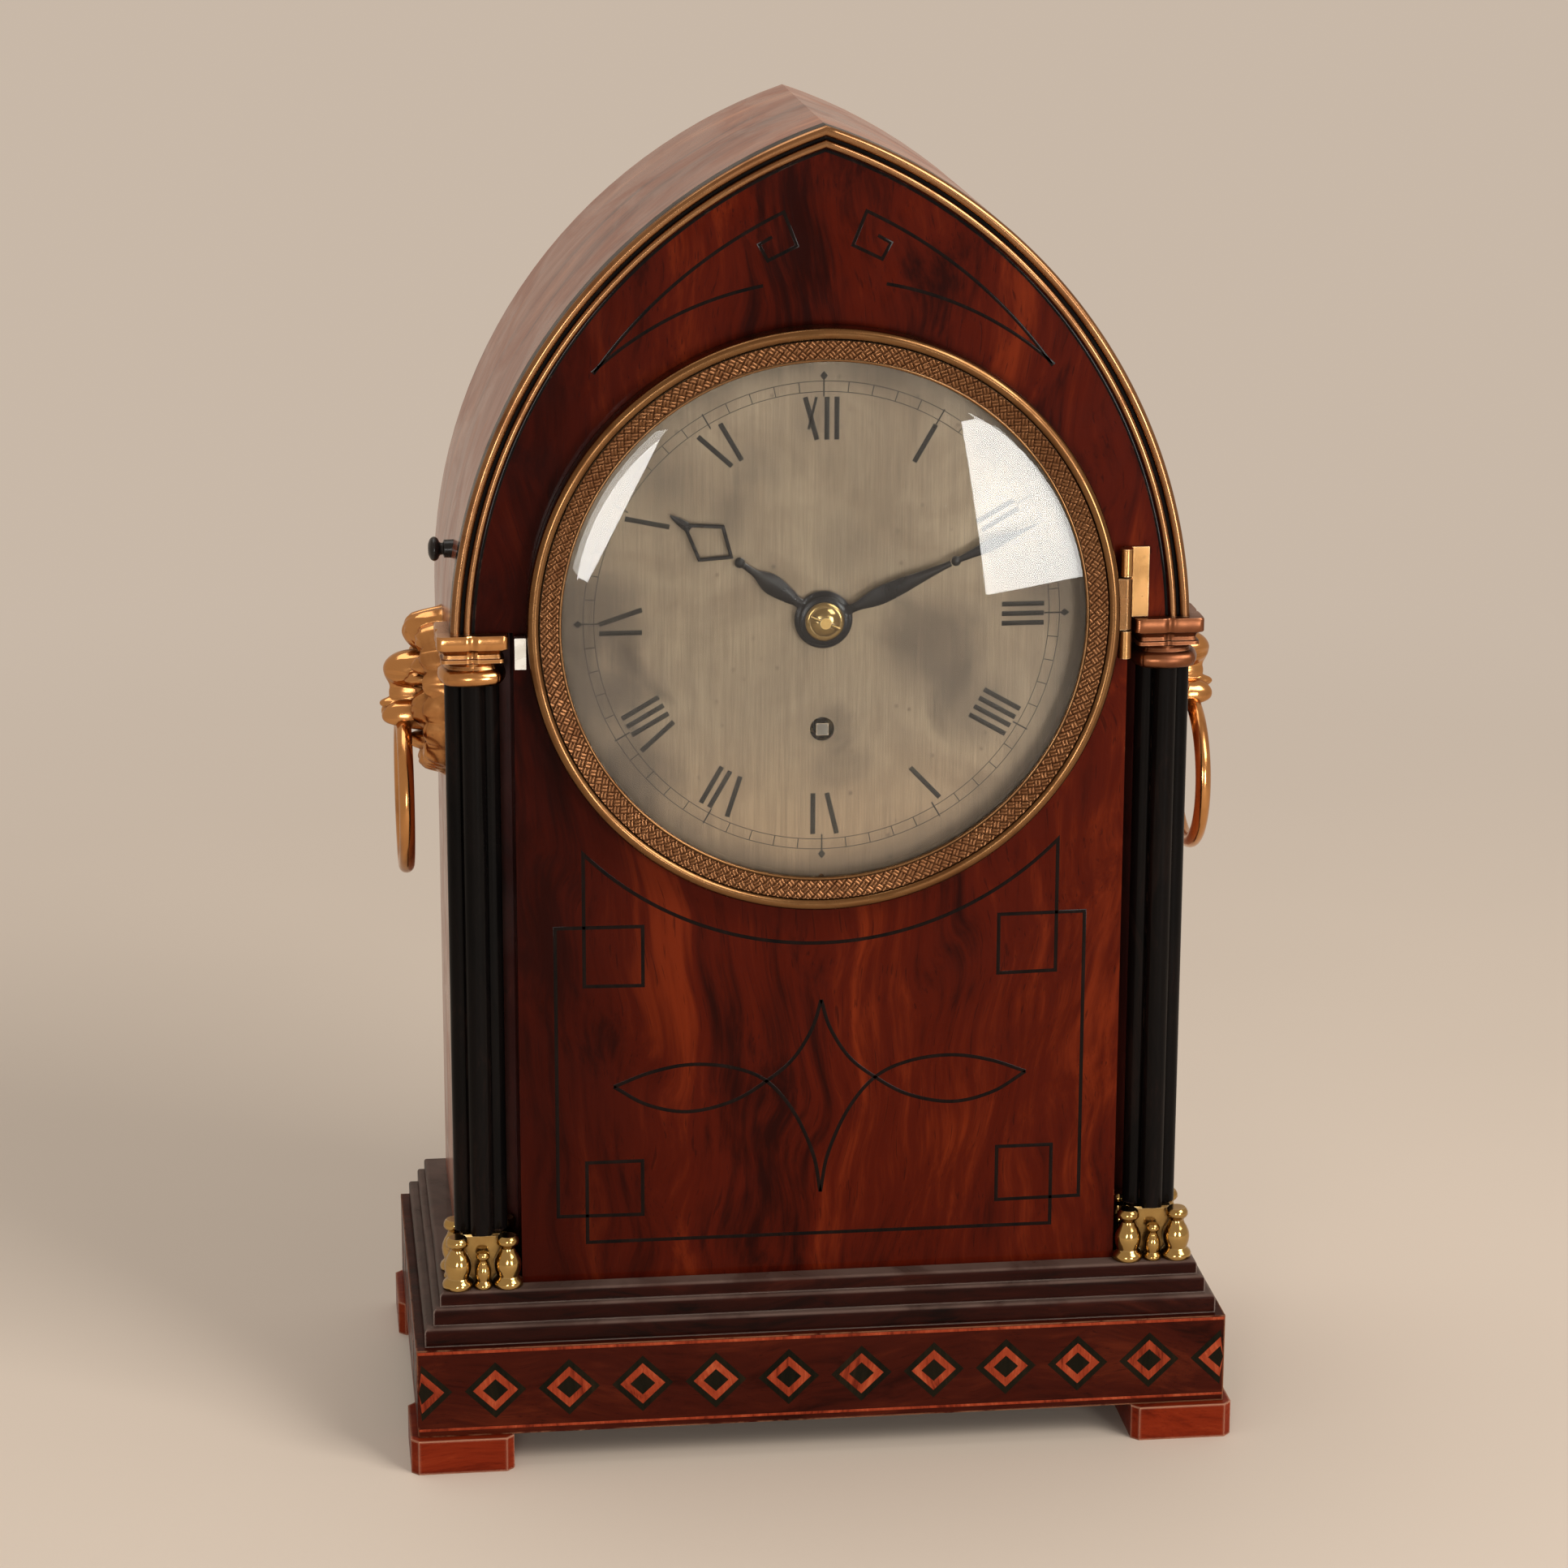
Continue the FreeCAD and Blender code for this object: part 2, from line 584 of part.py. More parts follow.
for side, sign in mirror_sides():
    axis = sign + "1 * column_x"
    lobes = [rod("lobe_%s_%d" % (side, i), "lobe_radius",
                 (axis + " + %d * lobe_offset" % across, "column_y + %d * lobe_offset" % along),
                 ("shaft_foot", "shaft_top"), "z")
             for i, (across, along) in enumerate(((1, 0), (-1, 0), (0, 1), (0, -1)))]
    core = rod("lobe_core_" + side, "lobe_offset", (axis, "column_y"), ("shaft_foot", "shaft_top"), "z")
    piece("column_" + side, fuse("column_" + side, core, *lobes))

    levels = (("torus", "0.98 * capital_half", "0", "0.30"), ("neck", "0.86 * capital_half", "0.30", "0.45"),
              ("fillet", "0.92 * capital_half", "0.45", "0.55"), ("throat", "0.86 * capital_half", "0.55",
                                                                  "0.72"),
              ("plate", "capital_half", "0.72", "1"))
    plates = [square("capital_%s_%s" % (name, side), half, axis,
                     ("shaft_top + %s * capital_rise" % low, "shaft_top + %s * capital_rise" % high))
              for name, half, low, high in levels]
    body = fuse("capital_block_" + side, *plates)
    split = [box("capital_split_%s_%s" % (name, side), (axis + " - 0.5", axis + " + 0.5"), depth,
                 ("shaft_top - 1", "capital_top + 1"))
             for name, depth in (("front", ("column_y - capital_half - 1", "column_y - 0.84 * capital_half")),
                                 ("back", ("column_y + 0.84 * capital_half", "column_y + capital_half + 1")))]
    capital = cut("capital_" + side, body, fuse("capital_splits_" + side, *split))
    piece("capital_" + side, capital)

    foot_plate = square("footing_plate_" + side, "footing_half", axis,
                        ("floor", "floor + 0.22 * footing_rise"))
    drum = square("footing_drum_" + side, "footing_half - bulb_radius", axis,
                  ("floor + 0.2 * footing_rise", "floor + 0.8 * footing_rise"))
    rim = square("footing_rim_" + side, "footing_half - 1.1", axis,
                 ("floor + 0.78 * footing_rise", "floor + footing_rise"))
    bulbs = []
    for across in (-1, 0, 1):
        for along in (-1, 0, 1):
            if across == 0 and along == 0:
                continue
            radius = "bulb_radius" if across and along else "lead_bulb"
            reach = "(footing_half - 1.6 - %s)" % radius
            bulbs.append(egg("bulb_%s_%d_%d" % (side, across + 1, along + 1),
                             (axis + " + %d * %s" % (across, reach), "column_y + %d * %s" % (along, reach),
                              "floor + 0.5 * footing_rise"), (radius, radius, "0.34 * footing_rise")))
    piece("column_base_" + side, fuse("column_base_" + side, foot_plate, drum, rim, *bulbs))

# Lion masks and their hanging rings
for side, sign in mirror_sides():
    def out(text):
        return sign + "1 * (case_half + %s)" % text
    shield = egg("mask_shield_" + side, (out("0"), "handle_y", "handle_z + 8.5"),
                 ("4.5", "mask_width / 2", "mask_height / 2"))
    muzzle = egg("mask_muzzle_" + side, (out("(mask_reach - 9.5)"), "handle_y", "handle_z + 4.5"),
                 ("9.5", "7.5", "11.5"))
    brow = egg("mask_brow_" + side, (out("4"), "handle_y", "handle_z + 17"), ("9", "12", "8.5"))
    curl = egg("mask_curl_" + side, (out("1.5"), "handle_y", "handle_z + 28"), ("6.5", "9", "6.5"))
    cheeks = [egg("mask_cheek_%s_%d" % (side, i), (out("2.5"), "handle_y + %d * 9" % i, "handle_z + 9"),
                  ("7", "5.5", "9"))
              for i in (-1, 1)]
    head = fuse("mask_head_" + side, shield, muzzle, brow, curl, *cheeks)
    wall = side_box("mask_wall_" + side, sign, "0", "case_half",
                    ("handle_y - mask_width", "handle_y + mask_width"),
                    ("handle_z - mask_height", "handle_z + mask_height"))
    mouth = rod("mask_mouth_" + side, "mouth_radius", (sign + "1 * handle_x", "handle_z"),
                ("handle_y - mask_width", "handle_y + mask_width"))
    piece("lion_mask_" + side, cut("lion_mask_" + side, head, fuse("mask_tool_" + side, wall, mouth)))
    piece("ring_" + side, ring("ring_" + side, "handle_ring", "handle_bar",
                               (sign + "1 * handle_x", "handle_y", "handle_z - handle_ring"), "x"))

knob_place = ("panel_front + knob_setback", "floor + knob_rise")
knob_parts = [rod("side_knob_shank", "knob_radius / 2 - fit_room", knob_place,
                  ("-case_half", "-inner_half"), "x"),
              rod("side_knob_collar", "knob_radius * 0.7", knob_place,
                  ("-case_half - 0.45 * knob_reach", "-case_half"), "x"),
              rod("side_knob_head", "knob_radius", knob_place,
                  ("-case_half - knob_reach", "-case_half - 0.4 * knob_reach"), "x")]
piece("side_knob", fuse("side_knob", *knob_parts))

# Dial, bezel, glass, hinge and catch
piece("dial", board("dial", ("dial_face", "dial_back"), circles=[
    ("dial_radius", "0", "dial_z"), ("dial_bore", "0", "dial_z"), ("winding_bore", "0", "winding_z")]
    + [("0.8", "(dial_radius - 1.6) * cos(%d)" % turn, "dial_z + (dial_radius - 1.6) * sin(%d)" % turn)
       for turn in (30, 150, 270)]))
screws = [rod("dial_screw_%d" % turn, "0.8 - fit_room", ("(dial_radius - 1.6) * cos(%d)" % turn,
                                                         "dial_z + (dial_radius - 1.6) * sin(%d)" % turn),
              ("dial_face", "dial_back")) for turn in (30, 150, 270)]
piece("dial_screws", group("dial_screws", *screws))

bezel_ring = turned("bezel_ring", [
    ("bezel_back", "bezel_radius"), ("bezel_back - bezel_wall + 1.6", "bezel_radius"),
    ("bezel_front", "bezel_radius - 1.6"), ("bezel_front", "bezel_radius - ring_moulding + 0.6"),
    ("bezel_front + 0.9", "bezel_radius - ring_moulding"), ("bezel_front + 1.9", "bezel_sight + 0.6"),
    ("bezel_front + 2.5", "bezel_sight"), ("glass_seat", "bezel_sight"),
    ("glass_seat", "bezel_sight + glass_lap + dial_room"), ("bezel_back",
                                                            "bezel_sight + glass_lap + dial_room")])
knuckle_low = "hinge_low + hinge_length / 4"
knuckle_high = "hinge_low + hinge_length * 3 / 4"
arm = box("bezel_arm", ("bezel_radius - 2.2", "hinge_x"), ("hinge_y - hinge_radius", "hinge_y + 0.4"),
          (knuckle_low + " + knuckle_room", knuckle_high + " - knuckle_room"))
barrel_mid = rod("bezel_knuckle", "hinge_radius", ("hinge_x", "hinge_y"),
                 (knuckle_low + " + knuckle_room", knuckle_high + " - knuckle_room"), "z")
bore_mid = rod("bezel_knuckle_bore", "pin_radius + fit_room", ("hinge_x", "hinge_y"),
               ("hinge_low - 1", "hinge_low + hinge_length + 1"), "z")
piece("bezel", cut("bezel", fuse("bezel_whole", bezel_ring, arm, barrel_mid), bore_mid))

leaf_parts = [rod("hinge_pin", "pin_radius", ("hinge_x", "hinge_y"),
                  ("hinge_low", "hinge_low + hinge_length"), "z")]
for name, low, high in (("low", "hinge_low", knuckle_low), ("high", knuckle_high,
                                                            "hinge_low + hinge_length")):
    leaf_parts.append(rod("hinge_knuckle_" + name, "hinge_radius", ("hinge_x", "hinge_y"), (low, high), "z"))
    leaf_parts.append(box("hinge_web_" + name, ("hinge_x - 0.2", "hinge_x + hinge_radius"),
                          ("hinge_y", "panel_front"),
                          (low, high)))
leaf_parts.append(box("hinge_leaf", ("hinge_x + 0.9", "hinge_x + 7"), ("panel_front - 0.8", "panel_front"),
                      ("max(hinge_low; capital_top + bezel_room)", "hinge_low + hinge_length")))
piece("bezel_hinge", fuse("bezel_hinge", *leaf_parts))

# The dial glass is a shallow dome: the space between two balls, with a flat rim
glass_edge = "(bezel_sight - 0.4)"
ball_radius = "((%s ^ 2 + glass_rise ^ 2) / (2 * glass_rise))" % glass_edge


def ball(name, radius, depth):
    solid = doc.addObject("Part::Sphere", name)
    bind(solid, "Radius", radius)
    bind(solid, "Placement.Base.y", depth)
    bind(solid, "Placement.Base.z", "dial_z")
    return solid


dome = cut("glass_dome", ball("glass_outer_ball", ball_radius, "glass_seat - glass_rise + " + ball_radius),
           ball("glass_inner_ball", ball_radius + " - glass_wall",
                "glass_seat - glass_rise + " + ball_radius))
dome_region = rod("glass_region", glass_edge, ("0", "dial_z"),
                  ("glass_seat - glass_rise - 1", "glass_seat + glass_wall"))
glass_rim = rod("glass_rim", "bezel_sight + glass_lap", ("0", "dial_z"),
                ("glass_seat", "glass_seat + glass_wall"))
rim_bore = rod("glass_rim_bore", "bezel_sight - 1.8", ("0", "dial_z"),
               ("glass_seat - 1", "glass_seat + glass_wall + 1"))
piece("bezel_glass", fuse("bezel_glass", common("glass_cap", dome, dome_region),
                          cut("glass_flange", glass_rim, rim_bore)))

catch = fuse("bezel_catch",
             box("catch_head", ("-catch_x - catch_width / 2", "-catch_x + catch_width / 2"),
                 ("panel_front - catch_proud", "catch_back"),
                 ("catch_z - catch_height / 2", "catch_z + catch_height / 2")),
             box("catch_stem_box", ("-catch_x - catch_stem / 2", "-catch_x + catch_stem / 2"),
                 ("catch_back", "panel_front + catch_depth"),
                 ("catch_z - catch_height / 3", "catch_z + catch_height / 3")))
piece("bezel_catch", catch)

# Back frame and glazed back door
back_block = lancet("back_block", "shell_wall", ("door_front", "case_back"))
back_opening = box("back_opening", ("-door_half", "door_half"), ("door_front - 1", "case_back + 1"),
                   ("door_low", "door_high"))
piece("back_frame", cut("back_frame", back_block, back_opening))

door_edge = "(door_half - door_room)"
door_block = box("door_block", ("-" + door_edge, door_edge), ("door_front", "case_back"),
                 ("door_low + door_room", "door_high - door_room"))
door_hole = box("door_hole", ("-(door_half - door_stile)", "door_half - door_stile"),
                ("door_front - 1", "case_back + 1"),
                ("door_low + door_stile", "door_high - door_stile"))
pane_slot = box("pane_slot", ("-(door_half - door_stile + pane_lap + fit_room)",
                              "door_half - door_stile + pane_lap + fit_room"),
                ("case_back - back_wall / 2 - pane_wall / 2 - fit_room",
                 "case_back - back_wall / 2 + pane_wall / 2 + fit_room"),
                ("door_low + door_stile - pane_lap - fit_room",
                 "door_high - door_stile + pane_lap + fit_room"))
knob_x = "-(door_half - door_stile / 2)"
knob_z = "(door_low + door_height / 2)"
knob_bore = rod("door_knob_bore", "1.5 + fit_room", (knob_x, knob_z), ("door_front - 1", "case_back + 1"))
piece("back_door", cut("back_door", door_block, fuse("door_tool", door_hole, pane_slot, knob_bore)))
piece("back_door_glass", box("back_door_glass", ("-(door_half - door_stile + pane_lap)",
                                                 "door_half - door_stile + pane_lap"),
                             ("case_back - back_wall / 2 - pane_wall / 2",
                              "case_back - back_wall / 2 + pane_wall / 2"),
                             ("door_low + door_stile - pane_lap", "door_high - door_stile + pane_lap")))
knob = fuse("back_door_knob",
            rod("door_knob_stem", "1.5", (knob_x, knob_z), ("door_front - 2.4",
                                                            "case_back + 0.5 * door_knob_reach")),
            rod("door_knob_head", "door_knob_radius", (knob_x, knob_z),
                ("case_back + 0.4 * door_knob_reach", "case_back + door_knob_reach")),
            rod("door_knob_rose", "door_knob_radius * 0.8", (knob_x, knob_z),
                ("case_back + bezel_room", "case_back + 1.4")),
            box("door_latch", (knob_x + " - 2.5", knob_x + " + 2.5"),
                ("door_front - 2.4", "door_front - bezel_room"),
                (knob_z + " - latch_length", knob_z + " + 2.5")))
piece("back_door_knob", knob)

hinge_axis = ("door_half", "case_back + hinge_radius")
fixed, moving = [], []
for name, height in (("low", "(door_low + 35)"), ("high", "(door_high - 35)")):
    middle = height
    fixed.append(fuse("door_hinge_fixed_" + name,
                      rod("door_pin_" + name, "pin_radius", hinge_axis,
                          (middle + " - 10", middle + " + 10"), "z"),
                      rod("door_knuckle_" + name, "hinge_radius", hinge_axis, (middle + " - 10", middle),
                          "z"),
                      box("door_leaf_" + name, ("door_half", "door_half + 9"), ("case_back", "case_back + 1"),
                          (middle + " - 10", middle))))
    swing = fuse("door_hinge_swing_" + name,
                 rod("door_swing_knuckle_" + name, "hinge_radius", hinge_axis,
                     (middle + " + knuckle_room", middle + " + 10"), "z"),
                 box("door_swing_leaf_" + name, ("door_half - 9", "door_half"),
                     ("case_back", "case_back + 1"),
                     (middle + " + knuckle_room", middle + " + 10")))
    moving.append(cut("door_hinge_moving_" + name, swing,
                      rod("door_swing_bore_" + name, "pin_radius + fit_room", hinge_axis,
                          (middle + " - 1", middle + " + 11"), "z")))
piece("back_door_hinges", group("back_door_hinges", *fixed))
piece("back_door_leaves", group("back_door_leaves", *moving))

# Seat board that carries the movement
seat_back = "back_plate_back + 1.5"
piece("seat_board", board("seat_board", ("seat_low", "seat_top"), along="z", corners=[
    ("-(notch_x - post_lap)", "panel_back"), ("notch_x - post_lap", "panel_back"),
    ("notch_x - post_lap", "notch_y + post_depth"), ("inner_half", "notch_y + post_depth"),
    ("inner_half", seat_back), ("-inner_half", seat_back),
    ("-inner_half", "notch_y + post_depth"), ("-(notch_x - post_lap)", "notch_y + post_depth")]))
piece("seat_bearers", group("seat_bearers", *[
    side_box("seat_bearer_" + side, sign, "inner_half - bearer", "inner_half",
             ("notch_y + post_depth", seat_back),
             ("seat_low - bearer", "seat_low")) for side, sign in mirror_sides()]))

# Movement plates, pillars and the back cock
PLATE = rectangle("-plate_width / 2", "plate_width / 2", "seat_top", "plate_top")
PIVOTS = [("fusee_arbor + fit_room", "0", "winding_z"), ("fusee_arbor + fit_room", "-barrel_side",
                                                         "barrel_z"),
          ("pivot_radius + fit_room", "third_side", "third_z"), ("pivot_radius + fit_room", "0", "escape_z")]
front_plate = board("front_plate_board", ("front_plate_face", "front_plate_back"), PLATE,
                    PIVOTS + [("arbor_radius + fit_room", "0", "dial_z"),
                              ("pivot_radius + fit_room", "0", "pallet_z")])
minute_stud = rod("minute_stud", "stud_radius", ("-motion_side", "dial_z"),
                  ("front_plate_face - 10", "front_plate_face"))
piece("front_plate", fuse("front_plate", front_plate, minute_stud))
piece("back_plate", board("back_plate", ("back_plate_face", "back_plate_back"), PLATE,
                          PIVOTS + [("pivot_radius + fit_room", "0", "dial_z"), ("3.5", "0", "pallet_z")]))
corner_x = "(plate_width / 2 - pillar_inset)"
piece("plate_pillars", group("plate_pillars", *[
    rod("pillar_%d%d" % (across + 1, up), "pillar_radius",
        ("%d * %s" % (across, corner_x), "plate_top - pillar_inset" if up else "seat_top + pillar_inset"),
        ("front_plate_back", "back_plate_face")) for across in (-1, 1) for up in (0, 1)]))

COCK = ("back_plate_back + 4", "back_plate_back + 6")
cock_bridge = board("cock_bridge", COCK, rectangle("-20", "20", "pallet_z - 7", "pallet_z + 12"),
                    [("pivot_radius + fit_room", "0", "pallet_z")])
cock_feet = [box("cock_foot_%d" % (across + 1), ("%d * 16 - 4" % across, "%d * 16 + 4" % across),
                 ("back_plate_back", COCK[0]), ("pallet_z - 7", "pallet_z + 12")) for across in (-1, 1)]
chop = box("suspension_chop", ("-4", "4"), (COCK[1], "pendulum_y + 2"),
           ("pallet_z + knuckle_room", "pallet_z + 9"))
piece("back_cock", fuse("back_cock", cock_bridge, chop, *cock_feet))


# Toothed wheels
def toothed(name, teeth, module, span, centre, phase, bore, tip=1.0, root=1.15, land=0.16, foot=0.40,
            spokes=0, lean=0.0):
    """A wheel with straight-sided teeth: land and foot are tooth widths as shares of the pitch,
    phase is the angle of one tooth's middle, seen from behind the clock's front, in radians."""
    count = int(round(size[teeth]))
    pitch_radius = module * count / 2
    outer = pitch_radius + tip * module
    inner = pitch_radius - root * module
    step = 2 * math.pi / count
    low, high = size[span[0]] + span[1], size[span[0]] + span[2]
    x, z = centre
    corners = []
    for i in range(count):
        middle = phase + i * step
        for share, radius, skew in ((-foot / 2, inner, 0), (-land / 2, outer, lean),
                                    (land / 2, outer, lean), (foot / 2, inner, 0)):
            angle = middle + (share + skew) * step
            corners.append(Vector(x + radius * math.cos(angle), low, z + radius * math.sin(angle)))
    face = Part.Face(Part.makePolygon(corners + corners[:1]))
    wheel = face.extrude(Vector(0, high - low, 0))
    axis = Vector(0, 1, 0)
    if bore:
        wheel = wheel.cut(Part.makeCylinder(bore, high - low + 2, Vector(x, low - 1, z), axis))
    if spokes:
        rim, hub = inner - 2.2 * module - 0.8, bore + 3.2
        window = Part.makeCylinder(rim, high - low + 2, Vector(x, low - 1, z), axis)
        window = window.cut(Part.makeCylinder(hub, high - low + 2, Vector(x, low - 1, z), axis))
        for i in range(spokes):
            bar = Part.makeBox(rim + 1, high - low + 4, 2.0, Vector(0, low - 2, -1.0))
            bar.rotate(Vector(0, 0, 0), Vector(0, -1, 0), 360.0 * i / spokes)
            bar.translate(Vector(x, 0, z))
            window = window.cut(bar)
        wheel = wheel.cut(window)
    return feature(name, wheel)


dial_z, winding_z, centre_module = size["dial_z"], size["winding_z"], size["centre_module"]
third = (size["third_side"], size["third_z"])
escape = (0.0, size["escape_z"])
to_third = math.atan2(third[1] - dial_z, third[0])
to_escape = math.atan2(escape[1] - third[1], escape[0] - third[0])


def gap_towards(angle, teeth):
    """Phase that leaves a gap between teeth facing back along a line of centres."""
    return angle + math.pi + math.pi / size[teeth]


TRAIN = ("front_plate_back", "back_plate_face")
great_wheel = toothed("great_wheel", "great_teeth", size["great_module"], ("front_plate_back", 4.0, 6.0),
                      (0, winding_z), math.pi / 2, size["fusee_arbor"] + size["fit_room"], spokes=4)
piece("great_wheel", great_wheel)

centre_parts = [
    rod("centre_rod", "arbor_radius", ("0", "dial_z"), ("front_plate_face - 24",
                                                        "back_plate_face - fit_room")),
    rod("centre_pivot", "pivot_radius", ("0", "dial_z"), ("back_plate_face - 1", "back_plate_back")),
    toothed("centre_pinion", "centre_leaves", size["great_module"], ("front_plate_back", 3.0, 7.0),
            (0, dial_z),
            gap_towards(math.pi / 2, "centre_leaves"), 0, tip=0.75, root=1.2, land=0.14, foot=0.32),
    toothed("centre_teeth_wheel", "centre_teeth", centre_module, ("back_plate_face", -6.9, -5.5),
            (0, dial_z), to_third,
            size["arbor_radius"], spokes=4)]
piece("centre_wheel", fuse("centre_wheel", *centre_parts))

third_parts = [
    rod("third_rod", "pivot_radius + 0.25", ("third_side", "third_z"),
        ("front_plate_back + fit_room", "back_plate_face - fit_room")),
    rod("third_pivots", "pivot_radius", ("third_side", "third_z"), ("front_plate_face", "back_plate_back")),
    toothed("third_pinion", "third_leaves", centre_module, ("back_plate_face", -8.0, -4.5), third,
            gap_towards(to_third, "third_leaves"), 0, tip=0.75, root=1.2, land=0.14, foot=0.32),
    toothed("third_teeth_wheel", "third_teeth", size["third_module"], ("front_plate_back", 10.0, 11.4),
            third, to_escape,
            size["pivot_radius"] + 0.25, spokes=4)]
piece("third_wheel", fuse("third_wheel", *third_parts))

escape_teeth_wheel = toothed("escape_teeth_wheel", "escape_teeth",
                             2 * size["escape_radius"] / size["escape_teeth"],
                             ("front_plate_back", 22.0, 23.2), escape,
                             math.pi / 2 + math.pi / size["escape_teeth"], size["pivot_radius"] + 0.25,
                             tip=0.0, root=2.6, land=0.05, foot=0.42, spokes=4, lean=0.22)
escape_parts = [
    rod("escape_rod", "pivot_radius + 0.25", ("0", "escape_z"),
        ("front_plate_back + fit_room", "back_plate_face - fit_room")),
    rod("escape_pivots", "pivot_radius", ("0", "escape_z"), ("front_plate_face", "back_plate_back")),
    toothed("escape_pinion", "escape_leaves", size["third_module"], ("front_plate_back", 9.0, 12.5), escape,
            gap_towards(to_escape, "escape_leaves"), 0, tip=0.75, root=1.2, land=0.14, foot=0.32),
    escape_teeth_wheel]
piece("escape_wheel", fuse("escape_wheel", *escape_parts))

# Fusee, spring barrel and gut line
CONE = ("front_plate_back + 7", "front_plate_back + 7 + fusee_length")
STEPS_OF_CONE = 9


def cone_corners():
    """The fusee's outline: small ledges that narrow towards the back."""
    corners = [("front_plate_face - 0.2", "0"), ("front_plate_face - 0.2", "fusee_arbor"),
               ("front_plate_back + 6.3", "fusee_arbor"), ("front_plate_back + 6.3", "fusee_large + 1.2"),
               (CONE[0], "fusee_large + 1.2")]
    for i in range(STEPS_OF_CONE):
        share = i / STEPS_OF_CONE
        radius = "fusee_large - %.4f * (fusee_large - fusee_small)" % math.sqrt(share)
        for end in (share, share + 1 / STEPS_OF_CONE):
            corners.append(("front_plate_back + 7 + %.4f * fusee_length" % end, radius))
    corners += [("back_plate_face - 1", "fusee_small"), ("back_plate_face - 1", "fusee_arbor"),
                ("back_plate_back", "fusee_arbor"), ("back_plate_back", "0")]
    return corners


key_square = box("key_square", ("-winding_square / 2", "winding_square / 2"),
                 ("dial_face - 0.4", "front_plate_face"),
                 ("winding_z - winding_square / 2", "winding_z + winding_square / 2"))
piece("fusee", fuse("fusee", turned("fusee_cone", cone_corners(), "0", "winding_z"), key_square))

barrel_place = ("-barrel_side", "barrel_z")
piece("barrel", fuse("barrel",
                     rod("barrel_arbor", "fusee_arbor", barrel_place,
                         ("front_plate_face", "back_plate_back")),
                     rod("barrel_drum", "barrel_radius", barrel_place,
                         ("front_plate_back + 7.5", "front_plate_back + 7.5 + barrel_length")),
                     rod("barrel_cap", "barrel_radius + 0.6", barrel_place,
                         ("front_plate_back + 7", "front_plate_back + 8.5"))))


def gut_line():
    """A straight tangent from the fusee's left side to the barrel's left side."""
    clear = size["line_radius"] + 0.3
    groove = STEPS_OF_CONE // 2 + 1
    taper = size["fusee_large"] - size["fusee_small"]
    cone = size["fusee_large"] - math.sqrt(groove / STEPS_OF_CONE) * taper
    first, second = cone + clear, size["barrel_radius"] + clear
    start, end = Vector(0, 0, winding_z), Vector(-size["barrel_side"], 0, size["barrel_z"])
    along = end - start
    span = along.Length
    lean = math.asin((second - first) / span)
    side = Vector(along.z, 0, -along.x).normalize() * 1.0
    if side.x > 0:
        side = side * -1.0
    normal = (side * math.cos(lean) - along.normalize() * math.sin(lean))
    depth = size["front_plate_back"] + 7 + size["fusee_length"] * (groove + 0.5) / STEPS_OF_CONE
    points = [start + normal * first, end + normal * second]
    for point in points:
        point.y = depth
    run = points[1] - points[0]
    return Part.makeCylinder(size["line_radius"], run.Length, points[0], run)


piece("gut_line", feature("gut_line", gut_line()))

# Motion work behind the dial
motion_y = "front_plate_face"
cannon = [
    rod("cannon_pipe", "cannon_radius", ("0", "dial_z"), ("minute_hand_y - hand_wall", motion_y + " - 1")),
    toothed("cannon_teeth", "motion_teeth", size["motion_module"], (motion_y, -3.5, -2.0), (0, dial_z),
            math.pi, 0)]
piece("cannon_wheel", cut("cannon_wheel", fuse("cannon_solid", *cannon),
                          rod("cannon_bore", "arbor_radius + fit_room", ("0", "dial_z"),
                              ("minute_hand_y - 5", motion_y))))
stud = (-size["motion_side"], dial_z)
minute_parts = [
    toothed("minute_teeth", "motion_teeth", size["motion_module"], (motion_y, -3.5, -2.0), stud,
            gap_towards(math.pi, "motion_teeth"), 0),
    toothed("minute_leaves", "motion_leaves", size["hour_module"], (motion_y, -8.6, -3.5), stud, 0, 0,
            tip=0.75, root=1.1, land=0.16, foot=0.34)]
piece("minute_wheel", cut("minute_wheel", fuse("minute_solid", *minute_parts),
                          rod("minute_bore", "stud_radius + fit_room", ("-motion_side", "dial_z"),
                              (motion_y + " - 9.5", motion_y))))
hour_parts = [
    rod("hour_tube", "hour_pipe", ("0", "dial_z"), ("hour_hand_y - hand_wall", motion_y + " - 6")),
    toothed("hour_teeth_wheel", "hour_teeth", size["hour_module"], (motion_y, -8.0, -6.5), (0, dial_z),
            math.pi + math.pi / size["hour_teeth"], size["hour_pipe"] - 0.2)]
piece("hour_wheel", cut("hour_wheel", fuse("hour_solid", *hour_parts),
                        rod("hour_bore", "cannon_radius + fit_room", ("0", "dial_z"),
                            ("hour_hand_y - 5", motion_y))))


